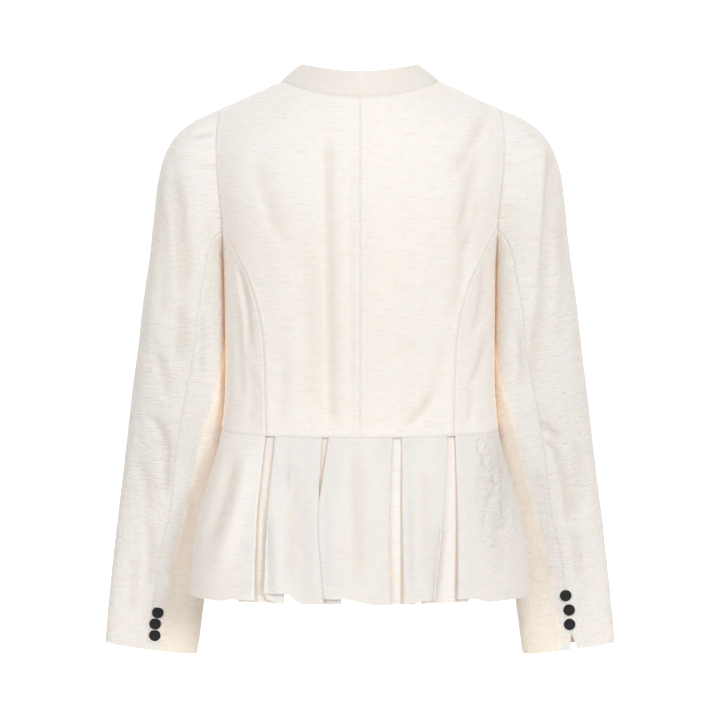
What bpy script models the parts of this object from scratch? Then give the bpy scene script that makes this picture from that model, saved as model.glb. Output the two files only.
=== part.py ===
"""Peplum jacket of ivory slub cloth, in the hollow form that it has when worn.

Sizes are in metres. +Z is up, the front faces -Y and the wearer's left is +X.
The origin is where the shoulders carry the jacket, in the middle of the neck.
Every cloth piece is a sheet through worked-out sections, thickened into a wall.
"""
import math

import bpy
import numpy as np
from mathutils import Vector

NAME = "peplum_jacket"

# Cloth and seams
WALL = 0.0015
SEAM = 0.0003
TURNED_SEAM = 0.0005  # taken off each edge where two pieces meet at an angle
CLOTH_COLOUR = (0.86, 0.82, 0.75, 1.0)
BUTTON_COLOUR = (0.012, 0.012, 0.014, 1.0)

# Heights of the main lines
WAIST = -0.385
HEM = -0.5785
BACK_HEM_RISE = 0.0060  # at the centre back, falling to nothing at the sides
UNDERARM = -0.178
BACK_NECK = 0.0055
FRONT_NECK = -0.0597

# Shoulders: the line's height on the centre line, its slope, and how deep it rolls over
SHOULDER_TOP = 0.0613
SHOULDER_SLOPE = 0.449
SHOULDER_ROLL = 0.075
NECK_HALF = 0.091
SHOULDER_POINT = 0.162

# Sections of the bodice are rounded more squarely than an ellipse
ROUND = 2.4
BODY = (
    # height, half width, back depth, front depth
    (0.025, 0.1750, 0.063, 0.044),
    (-0.012, 0.1750, 0.076, 0.058),
    (-0.050, 0.1750, 0.088, 0.079),
    (-0.100, 0.1710, 0.099, 0.103),
    (-0.146, 0.1630, 0.102, 0.119),
    (-0.178, 0.1585, 0.101, 0.127),
    (-0.215, 0.1575, 0.098, 0.128),
    (-0.250, 0.1570, 0.094, 0.120),
    (-0.300, 0.1565, 0.088, 0.105),
    (-0.345, 0.1575, 0.084, 0.093),
    (-0.385, 0.1610, 0.083, 0.088),
)

# Armhole from the shoulder point down to the underarm, as angles round the bodice
ARMHOLE = (
    # height, back angle, front angle
    (-0.0114, 65.7, 65.7),
    (-0.0250, 68.2, 65.6),
    (-0.0450, 69.8, 64.2),
    (-0.0750, 70.3, 62.4),
    (-0.1100, 71.0, 63.0),
    (-0.1460, 75.5, 69.0),
    (-0.1630, 80.0, 75.5),
    (-0.1740, 85.0, 82.5),
    (UNDERARM, 90.0, 90.0),
)
PRINCESS_START = 5 / 8  # where the princess seam leaves the armhole, as a share of it
PRINCESS = (
    # height, distance from the centre
    (-0.1770, 0.1415),
    (-0.2069, 0.1270),
    (-0.2403, 0.1170),
    (-0.2750, 0.1115),
    (-0.3200, 0.1095),
    (WAIST, 0.1085),
)

# Collar band: how far its top edge leans in and rises at the back, side and front
COLLAR = (
    # angle from the centre back, lean, rise
    (0.0, 0.011, 0.0290),
    (50.0, 0.017, 0.0260),
    (90.0, 0.024, 0.0200),
    (130.0, 0.012, 0.0250),
    (180.0, 0.003, 0.0270),
)
COLLAR_STANDOFF = 0.0016
COLLAR_END = 0.0020

# Fronts: how far each passes the centre, and how the right one lifts over the left
LAP = 0.017
LAP_LIFT = 0.0022
LAP_RAMP_START = 0.021
LAP_RAMP = 0.016

# Sleeve sections, left sleeve: the right one is its mirror image
SLEEVE = (
    # height, outer, inner, middle in depth, half depth, ridge, tilt
    (-0.1920, 0.2446, 0.1608, -0.006, 0.0570, 0.00, 0.200),
    (-0.2450, 0.2528, 0.1604, -0.010, 0.0530, 0.00, 0.140),
    (-0.3000, 0.2602, 0.1608, -0.019, 0.0480, -0.08, 0.126),
    (-0.3500, 0.2675, 0.1622, -0.030, 0.0435, -0.18, 0.126),
    (-0.3850, 0.2722, 0.1655, -0.040, 0.0400, -0.26, 0.126),
    (-0.4300, 0.2780, 0.1700, -0.053, 0.0360, -0.30, 0.126),
    (-0.4800, 0.2849, 0.1745, -0.066, 0.0320, -0.28, 0.126),
    (-0.5350, 0.2923, 0.1795, -0.073, 0.0280, -0.20, 0.126),
    (-0.5900, 0.2986, 0.1865, -0.075, 0.0250, -0.12, 0.126),
    (-0.6583, 0.3056, 0.1961, -0.075, 0.0220, -0.05, 0.126),
)
BICEPS = SLEEVE[0][0]
CUFF = SLEEVE[-1][0]
FORE_SEAM = 232.0  # angles round the sleeve from its outer side, towards the back
HIND_SEAM_TOP = 117.0
SLEEVE_SEAM_ANGLE = 0.35  # taken off each side of a sleeve seam
HIND_SEAM = (
    # height, distance from the centre
    (-0.1920, 0.1790),
    (-0.2416, 0.1878),
    (-0.2781, 0.1914),
    (-0.3500, 0.2050),
    (-0.4152, 0.2170),
    (-0.4903, 0.2262),
    (-0.5506, 0.2400),
    (-0.5981, 0.2455),
    (CUFF, 0.2560),
)
VENT_HEIGHT = 0.022
VENT_OPEN = {"left": 0.0012, "right": 0.0080}
SLEEVE_COLUMNS = {"upper": 21, "under": 10}
SLEEVE_ROWS = 12  # from the biceps to the top of the vent

# Sleeve cap: how it leaves the armhole (out, to front or back, down), how far it stands off
# there, and how strongly it is drawn at its two ends, each at the underarm and the shoulder
CAP_LEAVE = (0.90, 0.55, -0.28)
CAP_STANDOFF = (0.0006, 0.0022)
CAP_PULL = (0.85, 1.35)
CAP_SETTLE = (0.85, 1.47)
CAP_SHARES = (0.0, 0.08, 0.2, 0.36, 0.54, 0.72, 0.87)

# Peplum sections
PEPLUM = (
    # height, half width, back depth, front depth
    (WAIST, 0.1610, 0.083, 0.088),
    (-0.416, 0.1684, 0.091, 0.091),
    (-0.454, 0.1797, 0.103, 0.095),
    (-0.496, 0.1905, 0.115, 0.099),
    (-0.537, 0.1966, 0.123, 0.102),
    (-0.580, 0.1997, 0.128, 0.104),
)
PEPLUM_SHARES = (0.0, 0.16, 0.38, 0.6, 0.8, 1.0)
PLEAT_LAYER = (0.0021, 0.0046)  # from layer to layer, at the waist and at the hem
PLEAT_MIDDLE = 0.45  # share of the depth where the middle places below hold
PLEAT_TURN = 0.0014  # half round of a fold edge
PLEAT_CLEAR = 1.15  # the panel runs on past the turned-under width by this much
# Fold edges of each inverted pleat, by distance from the centre at the waist, midway and
# at the hem, with the height that the hem gains at each edge. +X is first.
BACK_PLEATS = (
    # outer waist, middle, hem, inner waist, middle, hem, outer rise, inner rise, turned under
    (0.1096, 0.1185, 0.1225, 0.0975, 0.1060, 0.1105, 0.003, 0.012, 0.021),
    (0.0437, 0.0480, 0.0425, 0.0360, 0.0468, 0.0410, 0.001, 0.007, 0.020),
    (-0.0368, -0.0330, -0.0342, -0.0480, -0.0490, -0.0505, 0.000, 0.002, 0.014),
    (-0.1002, -0.0955, -0.0856, -0.1105, -0.1125, -0.1132, 0.004, 0.005, 0.014),
)
FRONT_PLEATS = (
    (0.1100, 0.1160, 0.1190, 0.1000, 0.1050, 0.1060, 0.001, 0.003, 0.015),
    (0.0560, 0.0580, 0.0600, 0.0460, 0.0470, 0.0470, 0.002, 0.000, 0.015),
)

# Covered buttons
CUFF_BUTTON = (0.0066, 0.0042)  # radius, height
FRONT_BUTTON = (0.0090, 0.0052)
CUFF_BUTTONS = {
    # distance from the centre, height
    "left": ((0.2414, -0.6120), (0.2446, -0.6260), (0.2451, -0.6400)),
    "right": ((0.2453, -0.5920), (0.2497, -0.6100), (0.2504, -0.6275)),
}
FRONT_BUTTON_HEIGHTS = (-0.078, -0.149, -0.220, -0.291, -0.362)

# Largest soft folds: troughs have a negative height. A face of 1 is the back, -1 the front.
FOLDS = {
    # face, start x, start z, end x, end z, half width, height
    "centre_back_left": (
        (1, 0.034, -0.055, 0.032, -0.370, 0.012, -0.0020),
    ),
    "centre_back_right": (
        (1, -0.148, -0.008, -0.103, -0.084, 0.010, 0.0022),
        (1, -0.084, -0.338, -0.050, -0.370, 0.009, 0.0018),
        (1, -0.040, -0.110, -0.034, -0.350, 0.014, -0.0014),
    ),
    "side_back_left": (
        (1, 0.139, -0.190, 0.129, -0.291, 0.008, -0.0018),
    ),
    "upper_sleeve_left": (
        (1, 0.218, -0.080, 0.213, -0.230, 0.013, -0.0024),
        (1, 0.232, -0.330, 0.252, -0.352, 0.011, -0.0026),
        (-1, 0.190, -0.290, 0.240, -0.318, 0.012, -0.0030),
        (-1, 0.196, -0.350, 0.240, -0.345, 0.011, -0.0024),
    ),
    "upper_sleeve_right": (
        (1, -0.216, -0.058, -0.204, -0.256, 0.012, -0.0036),
        (1, -0.204, -0.256, -0.192, -0.317, 0.011, -0.0026),
        (1, -0.212, -0.388, -0.234, -0.406, 0.010, -0.0026),
        (-1, -0.190, -0.300, -0.238, -0.322, 0.012, -0.0030),
        (-1, -0.198, -0.362, -0.240, -0.350, 0.011, -0.0022),
    ),
    "front_left": (
        (-1, 0.140, -0.070, 0.104, -0.150, 0.012, 0.0022),
        (-1, 0.062, -0.335, 0.120, -0.368, 0.011, -0.0020),
    ),
    "front_right": (
        (-1, -0.142, -0.080, -0.112, -0.145, 0.012, 0.0020),
        (-1, -0.058, -0.352, -0.112, -0.330, 0.011, -0.0018),
    ),
    "peplum_back": (
        (1, 0.126, -0.402, 0.164, -0.538, 0.013, 0.0034),
        (1, -0.140, -0.392, -0.152, -0.458, 0.009, 0.0028),
        (1, -0.154, -0.400, -0.171, -0.483, 0.009, -0.0026),
        (1, -0.004, -0.430, 0.010, -0.560, 0.012, 0.0022),
    ),
    "peplum_front_left": (
        (-1, 0.140, -0.410, 0.152, -0.540, 0.012, 0.0026),
    ),
    "peplum_front_right": (
        (-1, -0.136, -0.405, -0.156, -0.520, 0.012, 0.0026),
    ),
}


def read(table, key):
    """Values of a table at keys of its first column, on a smooth curve through its rows."""
    rows = np.array(sorted(table), float)
    keys, values = rows[:, 0], rows[:, 1:]
    slopes = np.gradient(values, keys, axis=0)
    key = np.clip(np.asarray(key, float), keys[0], keys[-1])
    row = np.clip(np.searchsorted(keys, key) - 1, 0, len(keys) - 2)
    span = (keys[row + 1] - keys[row])[..., None]
    share = (key - keys[row])[..., None] / span
    start, end = values[row], values[row + 1]
    leave, reach = slopes[row] * span, slopes[row + 1] * span
    square = 3 * (end - start) - 2 * leave - reach
    cube = 2 * (start - end) + leave + reach
    found = start + share * (leave + share * (square + share * cube))
    return np.moveaxis(found, -1, 0)


def ease(share):
    share = np.clip(share, 0.0, 1.0)
    return share * share * (3 - 2 * share)


def power(value, exponent):
    return np.sign(value) * np.abs(value) ** exponent


def shoulder_height(x):
    return SHOULDER_TOP - SHOULDER_SLOPE * np.abs(x)


def body_point(face, angle, z):
    """The bodice at an angle from its centre line: face is 1 on the back, -1 on the front."""
    half, back, front = read(BODY, z)
    turn = np.radians(angle)
    x = half * power(np.sin(turn), 2 / ROUND)
    depth = np.where(face > 0, back, front) * power(np.cos(turn), 2 / ROUND)
    drop = np.clip((shoulder_height(x) - z) / SHOULDER_ROLL, 0.0, 1.0)
    y = face * depth * np.sqrt(1 - (1 - drop) ** 2)
    return np.stack([x, y, z * np.ones_like(x)], axis=-1)


def body_angle(x, z):
    """The angle round the bodice of a point at a distance from the centre."""
    half = read(BODY, z)[0]
    return np.degrees(np.arcsin(np.clip(power(x / half, ROUND / 2), -1.0, 1.0)))


def neck_height(face, x):
    across = np.abs(x) / NECK_HALF
    side = shoulder_height(NECK_HALF)
    if face > 0:
        return BACK_NECK + (side - BACK_NECK) * across**2
    return side - (side - FRONT_NECK) * np.clip(1 - across**2, 0.0, 1.0) ** 0.75


def evenly(points, count):
    """Points spread evenly along a line, its ends kept."""
    steps = np.linalg.norm(np.diff(points, axis=0), axis=1)
    along = np.concatenate([[0.0], np.cumsum(steps)])
    at = np.linspace(0.0, along[-1], count)
    return np.stack([np.interp(at, along, column) for column in points.T], axis=-1)


def top_edge(face, first, neck_count, shoulder_count):
    """Angle and height along the neck seam, through the first distances from the centre,
    then along the shoulder seam."""
    x = NECK_HALF * np.sin(np.linspace(math.asin(first[-1] / NECK_HALF), math.pi / 2, 90))
    z = neck_height(face, x)
    neck = np.stack([body_angle(x, z), z], axis=-1)
    seen = body_point(face, neck[:, 0], z)
    spaced = evenly(np.column_stack([seen, neck]), neck_count + 1)[:, 3:]
    x = np.array(first[:-1])
    z = neck_height(face, x)
    spaced = np.concatenate([np.stack([body_angle(x, z), z], axis=-1), spaced])
    x = np.linspace(NECK_HALF, SHOULDER_POINT, shoulder_count + 1)[1:]
    z = shoulder_height(x)
    shoulder = np.stack([body_angle(x, z), z], axis=-1)
    return np.concatenate([spaced, shoulder])


def armhole(face, share):
    """Angle and height on the armhole, from the shoulder point, 0, to the underarm, 1."""
    table = [(row / (len(ARMHOLE) - 1), *values) for row, values in enumerate(ARMHOLE)]
    z, back, front = read(table, share)
    return np.stack([np.where(face > 0, back, front), z], axis=-1)


def princess_angle(z):
    start = armhole(1, np.array(PRINCESS_START))
    start_x = body_point(1, start[0], start[1])[0]
    table = ((start[1], start_x), *PRINCESS)
    return body_angle(read(table, z)[0], z)


def blended(top, bottom, inner, outer):
    """A grid over a panel, blended from its four edges. Rows run from top to bottom."""
    height = outer[:, 1]
    down = (height - height[0]) / (height[-1] - height[0])
    across = np.linspace(0.0, 1.0, len(top))
    v, u = down[:, None, None], across[None, :, None]
    sides = (1 - u) * inner[:, None] + u * outer[:, None]
    ends = (1 - v) * top[None] + v * bottom[None]
    corners = (1 - v) * ((1 - u) * top[0] + u * top[-1])
    corners = corners + v * ((1 - u) * bottom[0] + u * bottom[-1])
    return sides + ends - corners


def from_centre(start, levels, first):
    """An inner edge at x = start, at heights that follow the outer edge's levels."""
    share = (levels - levels[0]) / (levels[-1] - levels[0])
    z = first + share * (levels[-1] - first)
    return np.stack([body_angle(start * np.ones_like(z), z), z], axis=-1)


def shrunk(points, gap, top_gap):
    """A grid of points with its border moved in along the grid, its top edge by top_gap."""
    out = points.copy()
    edges = ((0, 0, 1, top_gap), (0, -1, -2, gap), (1, 0, 1, gap), (1, -1, -2, gap))
    for axis, edge, inward, move in edges:
        grid = np.swapaxes(out, 0, axis)
        step = grid[inward] - grid[edge]
        length = np.linalg.norm(step, axis=-1, keepdims=True)
        grid[edge] += step * (move / np.maximum(length, 1e-6))
    return out


def centre_back_points():
    armhole_part = armhole(1, PRINCESS_START * np.linspace(0.0, 1.0, 10) ** 1.5)
    z = np.linspace(armhole_part[-1, 1], WAIST, 8)[1:]
    princess = np.stack([princess_angle(z), z], axis=-1)
    outer = np.concatenate([armhole_part, princess])
    inner = from_centre(0.0, outer[:, 1], BACK_NECK)
    top = top_edge(1, (0.0,), 5, 4)
    bottom = np.stack([np.linspace(0.0, outer[-1, 0], len(top)), WAIST * np.ones(len(top))], axis=-1)
    grid = blended(top, bottom, inner, outer)
    return body_point(1, grid[..., 0], grid[..., 1])


def side_back_points():
    top = armhole(1, np.linspace(PRINCESS_START, 1.0, 6))
    z = np.linspace(top[0, 1], WAIST, 8)
    inner = np.stack([princess_angle(z), z], axis=-1)
    z = np.linspace(UNDERARM, WAIST, 8)
    outer = np.stack([90.0 * np.ones_like(z), z], axis=-1)
    bottom = np.stack([np.linspace(inner[-1, 0], 90.0, len(top)), WAIST * np.ones(len(top))], axis=-1)
    grid = blended(top, bottom, inner, outer)
    return body_point(1, grid[..., 0], grid[..., 1])


def lap_lift(x, lifted):
    """How far the lapping front stands off the bodice near the centre front."""
    return LAP_LIFT * ease((LAP_RAMP_START + LAP_RAMP - x) / LAP_RAMP) * lifted


def front_points(lifted):
    """A front panel on the +X side, from past the centre front to the side seam."""
    armhole_part = armhole(-1, np.linspace(0.0, 1.0, 12) ** 1.4)
    z = np.linspace(UNDERARM, WAIST, 8)[1:]
    side = np.stack([90.0 * np.ones_like(z), z], axis=-1)
    outer = np.concatenate([armhole_part, side])
    first = (-LAP, 0.0, LAP_RAMP_START, LAP_RAMP_START + LAP_RAMP)
    top = top_edge(-1, first, 5, 4)
    inner = from_centre(-LAP, outer[:, 1], top[0, 1])
    near = body_angle(np.array(first), WAIST * np.ones(len(first)))
    bottom_angle = np.concatenate([near, np.linspace(near[-1], 90.0, len(top) - 3)[1:]])
    bottom = np.stack([bottom_angle, WAIST * np.ones(len(top))], axis=-1)
    grid = blended(top, bottom, inner, outer)
    points = body_point(-1, grid[..., 0], grid[..., 1])
    points[..., 1] -= lap_lift(points[..., 0], lifted)
    return points


def collar_points():
    """The collar band, from the centre front round the back to the centre front."""
    fine = np.radians(np.linspace(0.0, 90.0, 90))
    x = NECK_HALF * np.sin(fine)
    z = neck_height(1, x)
    back = body_point(1, body_angle(x, z), z)
    last = math.acos(COLLAR_END / NECK_HALF)
    x = NECK_HALF * np.cos(np.linspace(0.0, last, 90))[1:]
    z = neck_height(-1, x)
    front = body_point(-1, body_angle(x, z), z)
    line = np.concatenate([back, front])
    turn = np.degrees(np.arctan2(line[:, 0], line[:, 1]))
    base = evenly(np.column_stack([line, turn]), 19)
    lean, rise = read(COLLAR, base[:, 3])
    flat = base[:, :2] / np.linalg.norm(base[:, :2], axis=1, keepdims=True)
    way = np.column_stack([-lean[:, None] * flat, rise])
    length = np.linalg.norm(way, axis=1, keepdims=True)
    rows = []
    for share in np.linspace(0.0, 1.0, 4):
        bow = 0.0016 * math.sin(math.pi * share)
        row = base[:, :3] + way * share
        row = row + (COLLAR_STANDOFF * (1 - share)) * way / length
        row[:, :2] += flat * bow
        rows.append(row)
    half = np.array(rows)
    return np.concatenate([mirrored(half)[:, :-1], half], axis=1)


def sleeve_ring(angle, z):
    """The sleeve at an angle from its outer side, towards the back, below the cap."""
    outer, inner, middle, depth, ridge, tilt = read(SLEEVE, z)
    turn = np.radians(angle)
    half = (outer - inner) / 2
    behind = np.clip(np.sin(turn), 0.0, 1.0) ** 2
    along = half * (np.cos(turn) + ridge * behind)
    x = (outer + inner) / 2 + along
    y = middle + depth * np.sin(turn)
    return np.stack([x, y, z + along * tilt], axis=-1)


def armhole_point(angle):
    """The armhole seam at the sleeve's own angle: 0 at the shoulder, 90 at the back."""
    angle = np.asarray(angle, float) % 360
    back = armhole(1, np.clip(angle / 180, 0.0, 1.0))
    front = armhole(-1, np.clip((360 - angle) / 180, 0.0, 1.0))
    behind = body_point(1, back[..., 0], back[..., 1])
    before = body_point(-1, front[..., 0], front[..., 1])
    return np.where(angle[..., None] <= 180, behind, before)


def cap_point(angle, share):
    """The sleeve cap from the armhole, 0, to the biceps section, 1."""
    turn = np.radians(angle)
    high = (1 + np.cos(turn)) / 2
    out, along, down = CAP_LEAVE
    leave = np.stack([out * np.ones_like(turn), along * np.sin(turn), down * high], axis=-1)
    leave = leave / np.linalg.norm(leave, axis=-1, keepdims=True)
    lowered = np.minimum(1.0, 1.6 * np.abs(np.sin(turn / 2)))
    standoff = CAP_STANDOFF[0] + (CAP_STANDOFF[1] - CAP_STANDOFF[0]) * lowered
    start = armhole_point(angle) + leave * standoff[..., None]
    end = sleeve_ring(angle, BICEPS * np.ones_like(turn))
    below = sleeve_ring(angle, (BICEPS - 0.01) * np.ones_like(turn))
    reach = (below - end) / np.linalg.norm(below - end, axis=-1, keepdims=True)
    chord = np.linalg.norm(end - start, axis=-1, keepdims=True)
    pull = (CAP_PULL[0] + (CAP_PULL[1] - CAP_PULL[0]) * high)[..., None] * chord
    settle = (CAP_SETTLE[0] + (CAP_SETTLE[1] - CAP_SETTLE[0]) * high)[..., None] * chord
    share = share[..., None]
    a = 2 * share**3 - 3 * share**2 + 1
    b = share**3 - 2 * share**2 + share
    c = 3 * share**2 - 2 * share**3
    d = share**3 - share**2
    return a * start + b * pull * leave + c * end + d * settle * reach


def hind_angle(z, vent):
    """The sleeve angle of the hind seam, moved by half the vent's opening at the cuff."""
    tried = np.linspace(30.0, 150.0, 121)
    opening = vent * ease((CUFF + VENT_HEIGHT - z) / VENT_HEIGHT)
    wanted = read(HIND_SEAM, z)[0] + opening
    return float(np.interp(-wanted, -sleeve_ring(tried, z * np.ones_like(tried))[:, 0], tried))


def sleeve_points(part, vent):
    """A grid down the upper or the under sleeve, from the armhole to the cuff."""
    rows = []
    gap = SLEEVE_SEAM_ANGLE
    count = SLEEVE_COLUMNS[part]
    biceps = hind_angle(BICEPS, 0.0)
    levels = [*np.linspace(BICEPS, CUFF + VENT_HEIGHT, SLEEVE_ROWS), CUFF + VENT_HEIGHT / 2, CUFF]
    for share, z in [(share, None) for share in CAP_SHARES] + [(None, level) for level in levels]:
        if z is None:
            hind = HIND_SEAM_TOP + (biceps - HIND_SEAM_TOP) * share
        else:
            hind = hind_angle(z, vent / 2 if part == "upper" else -vent / 2)
        if part == "upper":
            angle = np.linspace(FORE_SEAM - 360 + gap, hind - gap, count)
        else:
            angle = np.linspace(hind + gap, FORE_SEAM - gap, count)
        if z is None:
            rows.append(cap_point(angle, share * np.ones_like(angle)))
        else:
            rows.append(sleeve_ring(angle, z * np.ones_like(angle)))
    return np.array(rows)


def peplum_point(face, x, z, inward, rise):
    """The peplum at a signed distance from the centre, moved in and up from its own form."""
    half, back, front = read(PEPLUM, z)
    depth = np.where(face > 0, back, front)
    across = np.clip(np.abs(x) / half, 0.0, 1.0)
    y = depth * (1 - across**ROUND) ** (1 / ROUND)
    normal = np.stack(
        [np.sign(x) * across ** (ROUND - 1) / half, face * (y / depth) ** (ROUND - 1) / depth],
        axis=-1,
    )
    normal = normal / np.linalg.norm(normal, axis=-1, keepdims=True)
    place = np.stack([x, face * y], axis=-1) - normal * np.asarray(inward)[..., None]
    return np.concatenate([place, (z + rise)[..., None]], axis=-1)


def pleat_stations(outer, inner, layer, rises, under):
    """One inverted pleat, from its outer fold edge to its inner one: x, inward, rise."""
    turn = PLEAT_TURN
    far_out = outer + under
    far_in = inner - under
    middle = (outer + inner) / 2
    return (
        (outer + under * PLEAT_CLEAR, 0.0, rises[0]),
        (outer + turn, 0.0, rises[0]),
        (outer, 0.5 * layer, rises[0]),
        (outer + turn, layer, rises[0] / 2),
        (far_out - turn, layer, 0.0),
        (far_out, 1.5 * layer, 0.0),
        (far_out - turn, 2 * layer, 0.0),
        (middle, 2 * layer, 0.0),
        (far_in + turn, 2 * layer, 0.0),
        (far_in, 1.5 * layer, 0.0),
        (far_in + turn, layer, 0.0),
        (inner - turn, layer, rises[1] / 2),
        (inner, 0.5 * layer, rises[1]),
        (inner - turn, 0.0, rises[1]),
        (inner - under * PLEAT_CLEAR, 0.0, rises[1]),
    )


def side_stations(half, outer_x, count):
    """Stations from a side seam to the first pleat, closer together where the side turns."""
    start = math.asin(min(1.0, (outer_x / half) ** (ROUND / 2)))
    turns = np.linspace(math.pi / 2, start, count + 1)[:-1]
    return [(half * math.sin(t) ** (2 / ROUND), 0.0, 0.0) for t in turns]


def peplum_points(face, pleats, end, lifted):
    """A grid down the peplum, from its +X side seam to x = end, or to the other side seam."""
    rows = []
    for share in PEPLUM_SHARES:
        z = WAIST - SEAM + share * (HEM - WAIST)
        half = float(read(PEPLUM, z)[0])
        layer = PLEAT_LAYER[0] + (PLEAT_LAYER[1] - PLEAT_LAYER[0]) * share
        folds = []
        for table in pleats:
            outer = np.interp(share, (0.0, PLEAT_MIDDLE, 1.0), table[0:3])
            inner = np.interp(share, (0.0, PLEAT_MIDDLE, 1.0), table[3:6])
            folds.extend(pleat_stations(outer, inner, layer, table[6:8], table[8]))
        stations = side_stations(half, folds[0][0], 5) + folds
        if end is None:
            other = side_stations(half, -folds[-1][0], 5)
            stations.extend((-x, inward, rise) for x, inward, rise in reversed(other))
        else:
            stations.extend((x, 0.0, 0.0) for x in np.linspace(folds[-1][0], end, 5)[1:])
        x, inward, rise = np.array(stations).T
        inward = inward - lap_lift(x, lifted) if end is not None else inward
        centred = (1 - np.clip(np.abs(x) / half, 0.0, 1.0) ** ROUND) ** (1 / ROUND)
        gain = rise + BACK_HEM_RISE * centred * (face > 0)
        rows.append(peplum_point(face, x, z * np.ones_like(x), inward, gain * share**2))
    return np.array(rows)


def mirrored(points):
    """The other side's piece, its rows turned round so that its faces still point out."""
    return points[:, ::-1] * np.array([-1.0, 1.0, 1.0])


def material(name, colour, roughness, metallic):
    made = bpy.data.materials.new(name)
    made.use_nodes = True
    shader = made.node_tree.nodes["Principled BSDF"]
    shader.inputs["Base Color"].default_value = colour
    shader.inputs["Roughness"].default_value = roughness
    shader.inputs["Metallic"].default_value = metallic
    return made


def pressed(points, folds, flip):
    """A grid with its soft folds raised or sunk along its normals, fading at its edges."""
    down, across = np.gradient(points, axis=(0, 1))
    normal = np.cross(across, down) if flip else np.cross(down, across)
    normal = normal / np.maximum(np.linalg.norm(normal, axis=-1, keepdims=True), 1e-9)
    rows, columns = (np.minimum(np.arange(n), np.arange(n)[::-1]) for n in points.shape[:2])
    inside = ease(np.minimum(rows[:, None], columns[None, :]) / 1.5)
    height = np.zeros(points.shape[:2])
    for face, start_x, start_z, end_x, end_z, half_width, fold_height in folds:
        run = np.array([end_x - start_x, end_z - start_z])
        place = points[..., (0, 2)] - (start_x, start_z)
        share = np.clip(place @ run / (run @ run), 0.0, 1.0)
        away = np.linalg.norm(place - share[..., None] * run, axis=-1)
        facing = ease(2 * face * normal[..., 1])
        height += fold_height * np.exp(-((away / half_width) ** 2)) * facing
    return points + normal * (height * inside)[..., None]


def cloth_piece(collection, name, points, flip=False):
    """A sheet through a grid of points, thickened into a wall by half to each side."""
    points = pressed(points, FOLDS.get(name, ()), flip)
    down, across = points.shape[:2]
    index = np.arange(down * across).reshape(down, across)
    corners = np.stack([index[:-1, :-1], index[1:, :-1], index[1:, 1:], index[:-1, 1:]], axis=-1)
    faces = corners.reshape(-1, 4)
    if flip:
        faces = faces[:, ::-1]
    mesh = bpy.data.meshes.new(name)
    mesh.from_pydata(points.reshape(-1, 3).tolist(), [], faces.tolist())
    mesh.shade_smooth()
    piece = bpy.data.objects.new(name, mesh)
    collection.objects.link(piece)
    wall = piece.modifiers.new("wall", "SOLIDIFY")
    wall.thickness = WALL
    wall.offset = 0.0
    piece.data.materials.append(material(name + "_cloth", CLOTH_COLOUR, 0.85, 0.0))
    return piece


def button(collection, name, size, place, normal):
    """A cloth-covered button: a domed disc on a short shank, turned round its axis."""
    radius, height = size
    shank = 0.30 * radius
    profile = (
        (0.0, height),
        (0.45 * radius, 0.97 * height),
        (0.80 * radius, 0.82 * height),
        (radius, 0.50 * height),
        (0.90 * radius, 0.26 * height),
        (shank, 0.22 * height),
        (shank, 0.0),
        (0.0, 0.0),
    )
    mesh = bpy.data.meshes.new(name)
    points = [(x, 0.0, z) for x, z in profile]
    mesh.from_pydata(points, [(i, i + 1) for i in range(len(points) - 1)], [])
    piece = bpy.data.objects.new(name, mesh)
    collection.objects.link(piece)
    turn = piece.modifiers.new("turn", "SCREW")
    turn.steps = 14
    turn.render_steps = 14
    turn.use_merge_vertices = True
    turn.merge_threshold = 0.00001
    piece.location = place
    piece.rotation_euler = Vector(normal).to_track_quat("Z", "Y").to_euler()
    piece.data.materials.append(material(name + "_cover", BUTTON_COLOUR, 0.7, 0.0))
    return piece


def surface_frame(surface, first, second, step):
    """A point of a surface of two values, with its unit normal."""
    here = surface(first, second)
    one = surface(first + step[0], second) - here
    two = surface(first, second + step[1]) - here
    normal = np.cross(one, two)
    return here, normal / np.linalg.norm(normal)


def cuff_button(collection, side, number, x, z):
    def surface(angle, height):
        return sleeve_ring(np.array([angle]), np.array([height]))[0]

    tried = np.linspace(30.0, 150.0, 241)
    line = sleeve_ring(tried, z * np.ones_like(tried))
    angle = float(np.interp(-x, -line[:, 0], tried))
    place, normal = surface_frame(surface, angle, z, (0.5, 0.002))
    normal = normal if normal[1] > 0 else -normal
    place = place + normal * (WALL / 2 + SEAM)
    if side == "right":
        place, normal = place * (-1, 1, 1), normal * (-1, 1, 1)
    button(collection, f"cuff_button_{side}_{number}", CUFF_BUTTON, place, normal)


def front_button(collection, number, z):
    """A button on the centre front: the lapping front's second column of points lies there."""
    line = front_points(1.0)[:, 1]
    row = int(np.searchsorted(-line[:, 2], -z))
    run = line[row - 1] - line[row]
    place = line[row] + run * (z - line[row, 2]) / run[2]
    normal = np.array([0.0, -run[2], run[1]]) / np.hypot(run[1], run[2])
    place = place + normal * (WALL / 2 + SEAM)
    button(collection, f"front_button_{number}", FRONT_BUTTON, place, normal)


def build_bodice(collection):
    half_seam = SEAM / 2
    for name, points in (
        ("centre_back", shrunk(centre_back_points(), half_seam, TURNED_SEAM)),
        ("side_back", shrunk(side_back_points(), half_seam, TURNED_SEAM)),
    ):
        cloth_piece(collection, name + "_left", points)
        cloth_piece(collection, name + "_right", mirrored(points))
    left = shrunk(front_points(0.0), half_seam, TURNED_SEAM)
    cloth_piece(collection, "front_left", left, flip=True)
    right = mirrored(shrunk(front_points(1.0), half_seam, TURNED_SEAM))
    cloth_piece(collection, "front_right", right, flip=True)
    cloth_piece(collection, "collar", collar_points())


def build_sleeves(collection):
    for part in ("upper", "under"):
        for side in ("left", "right"):
            points = sleeve_points(part, VENT_OPEN[side])
            points = points if side == "left" else mirrored(points)
            cloth_piece(collection, f"{part}_sleeve_{side}", points)


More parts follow.
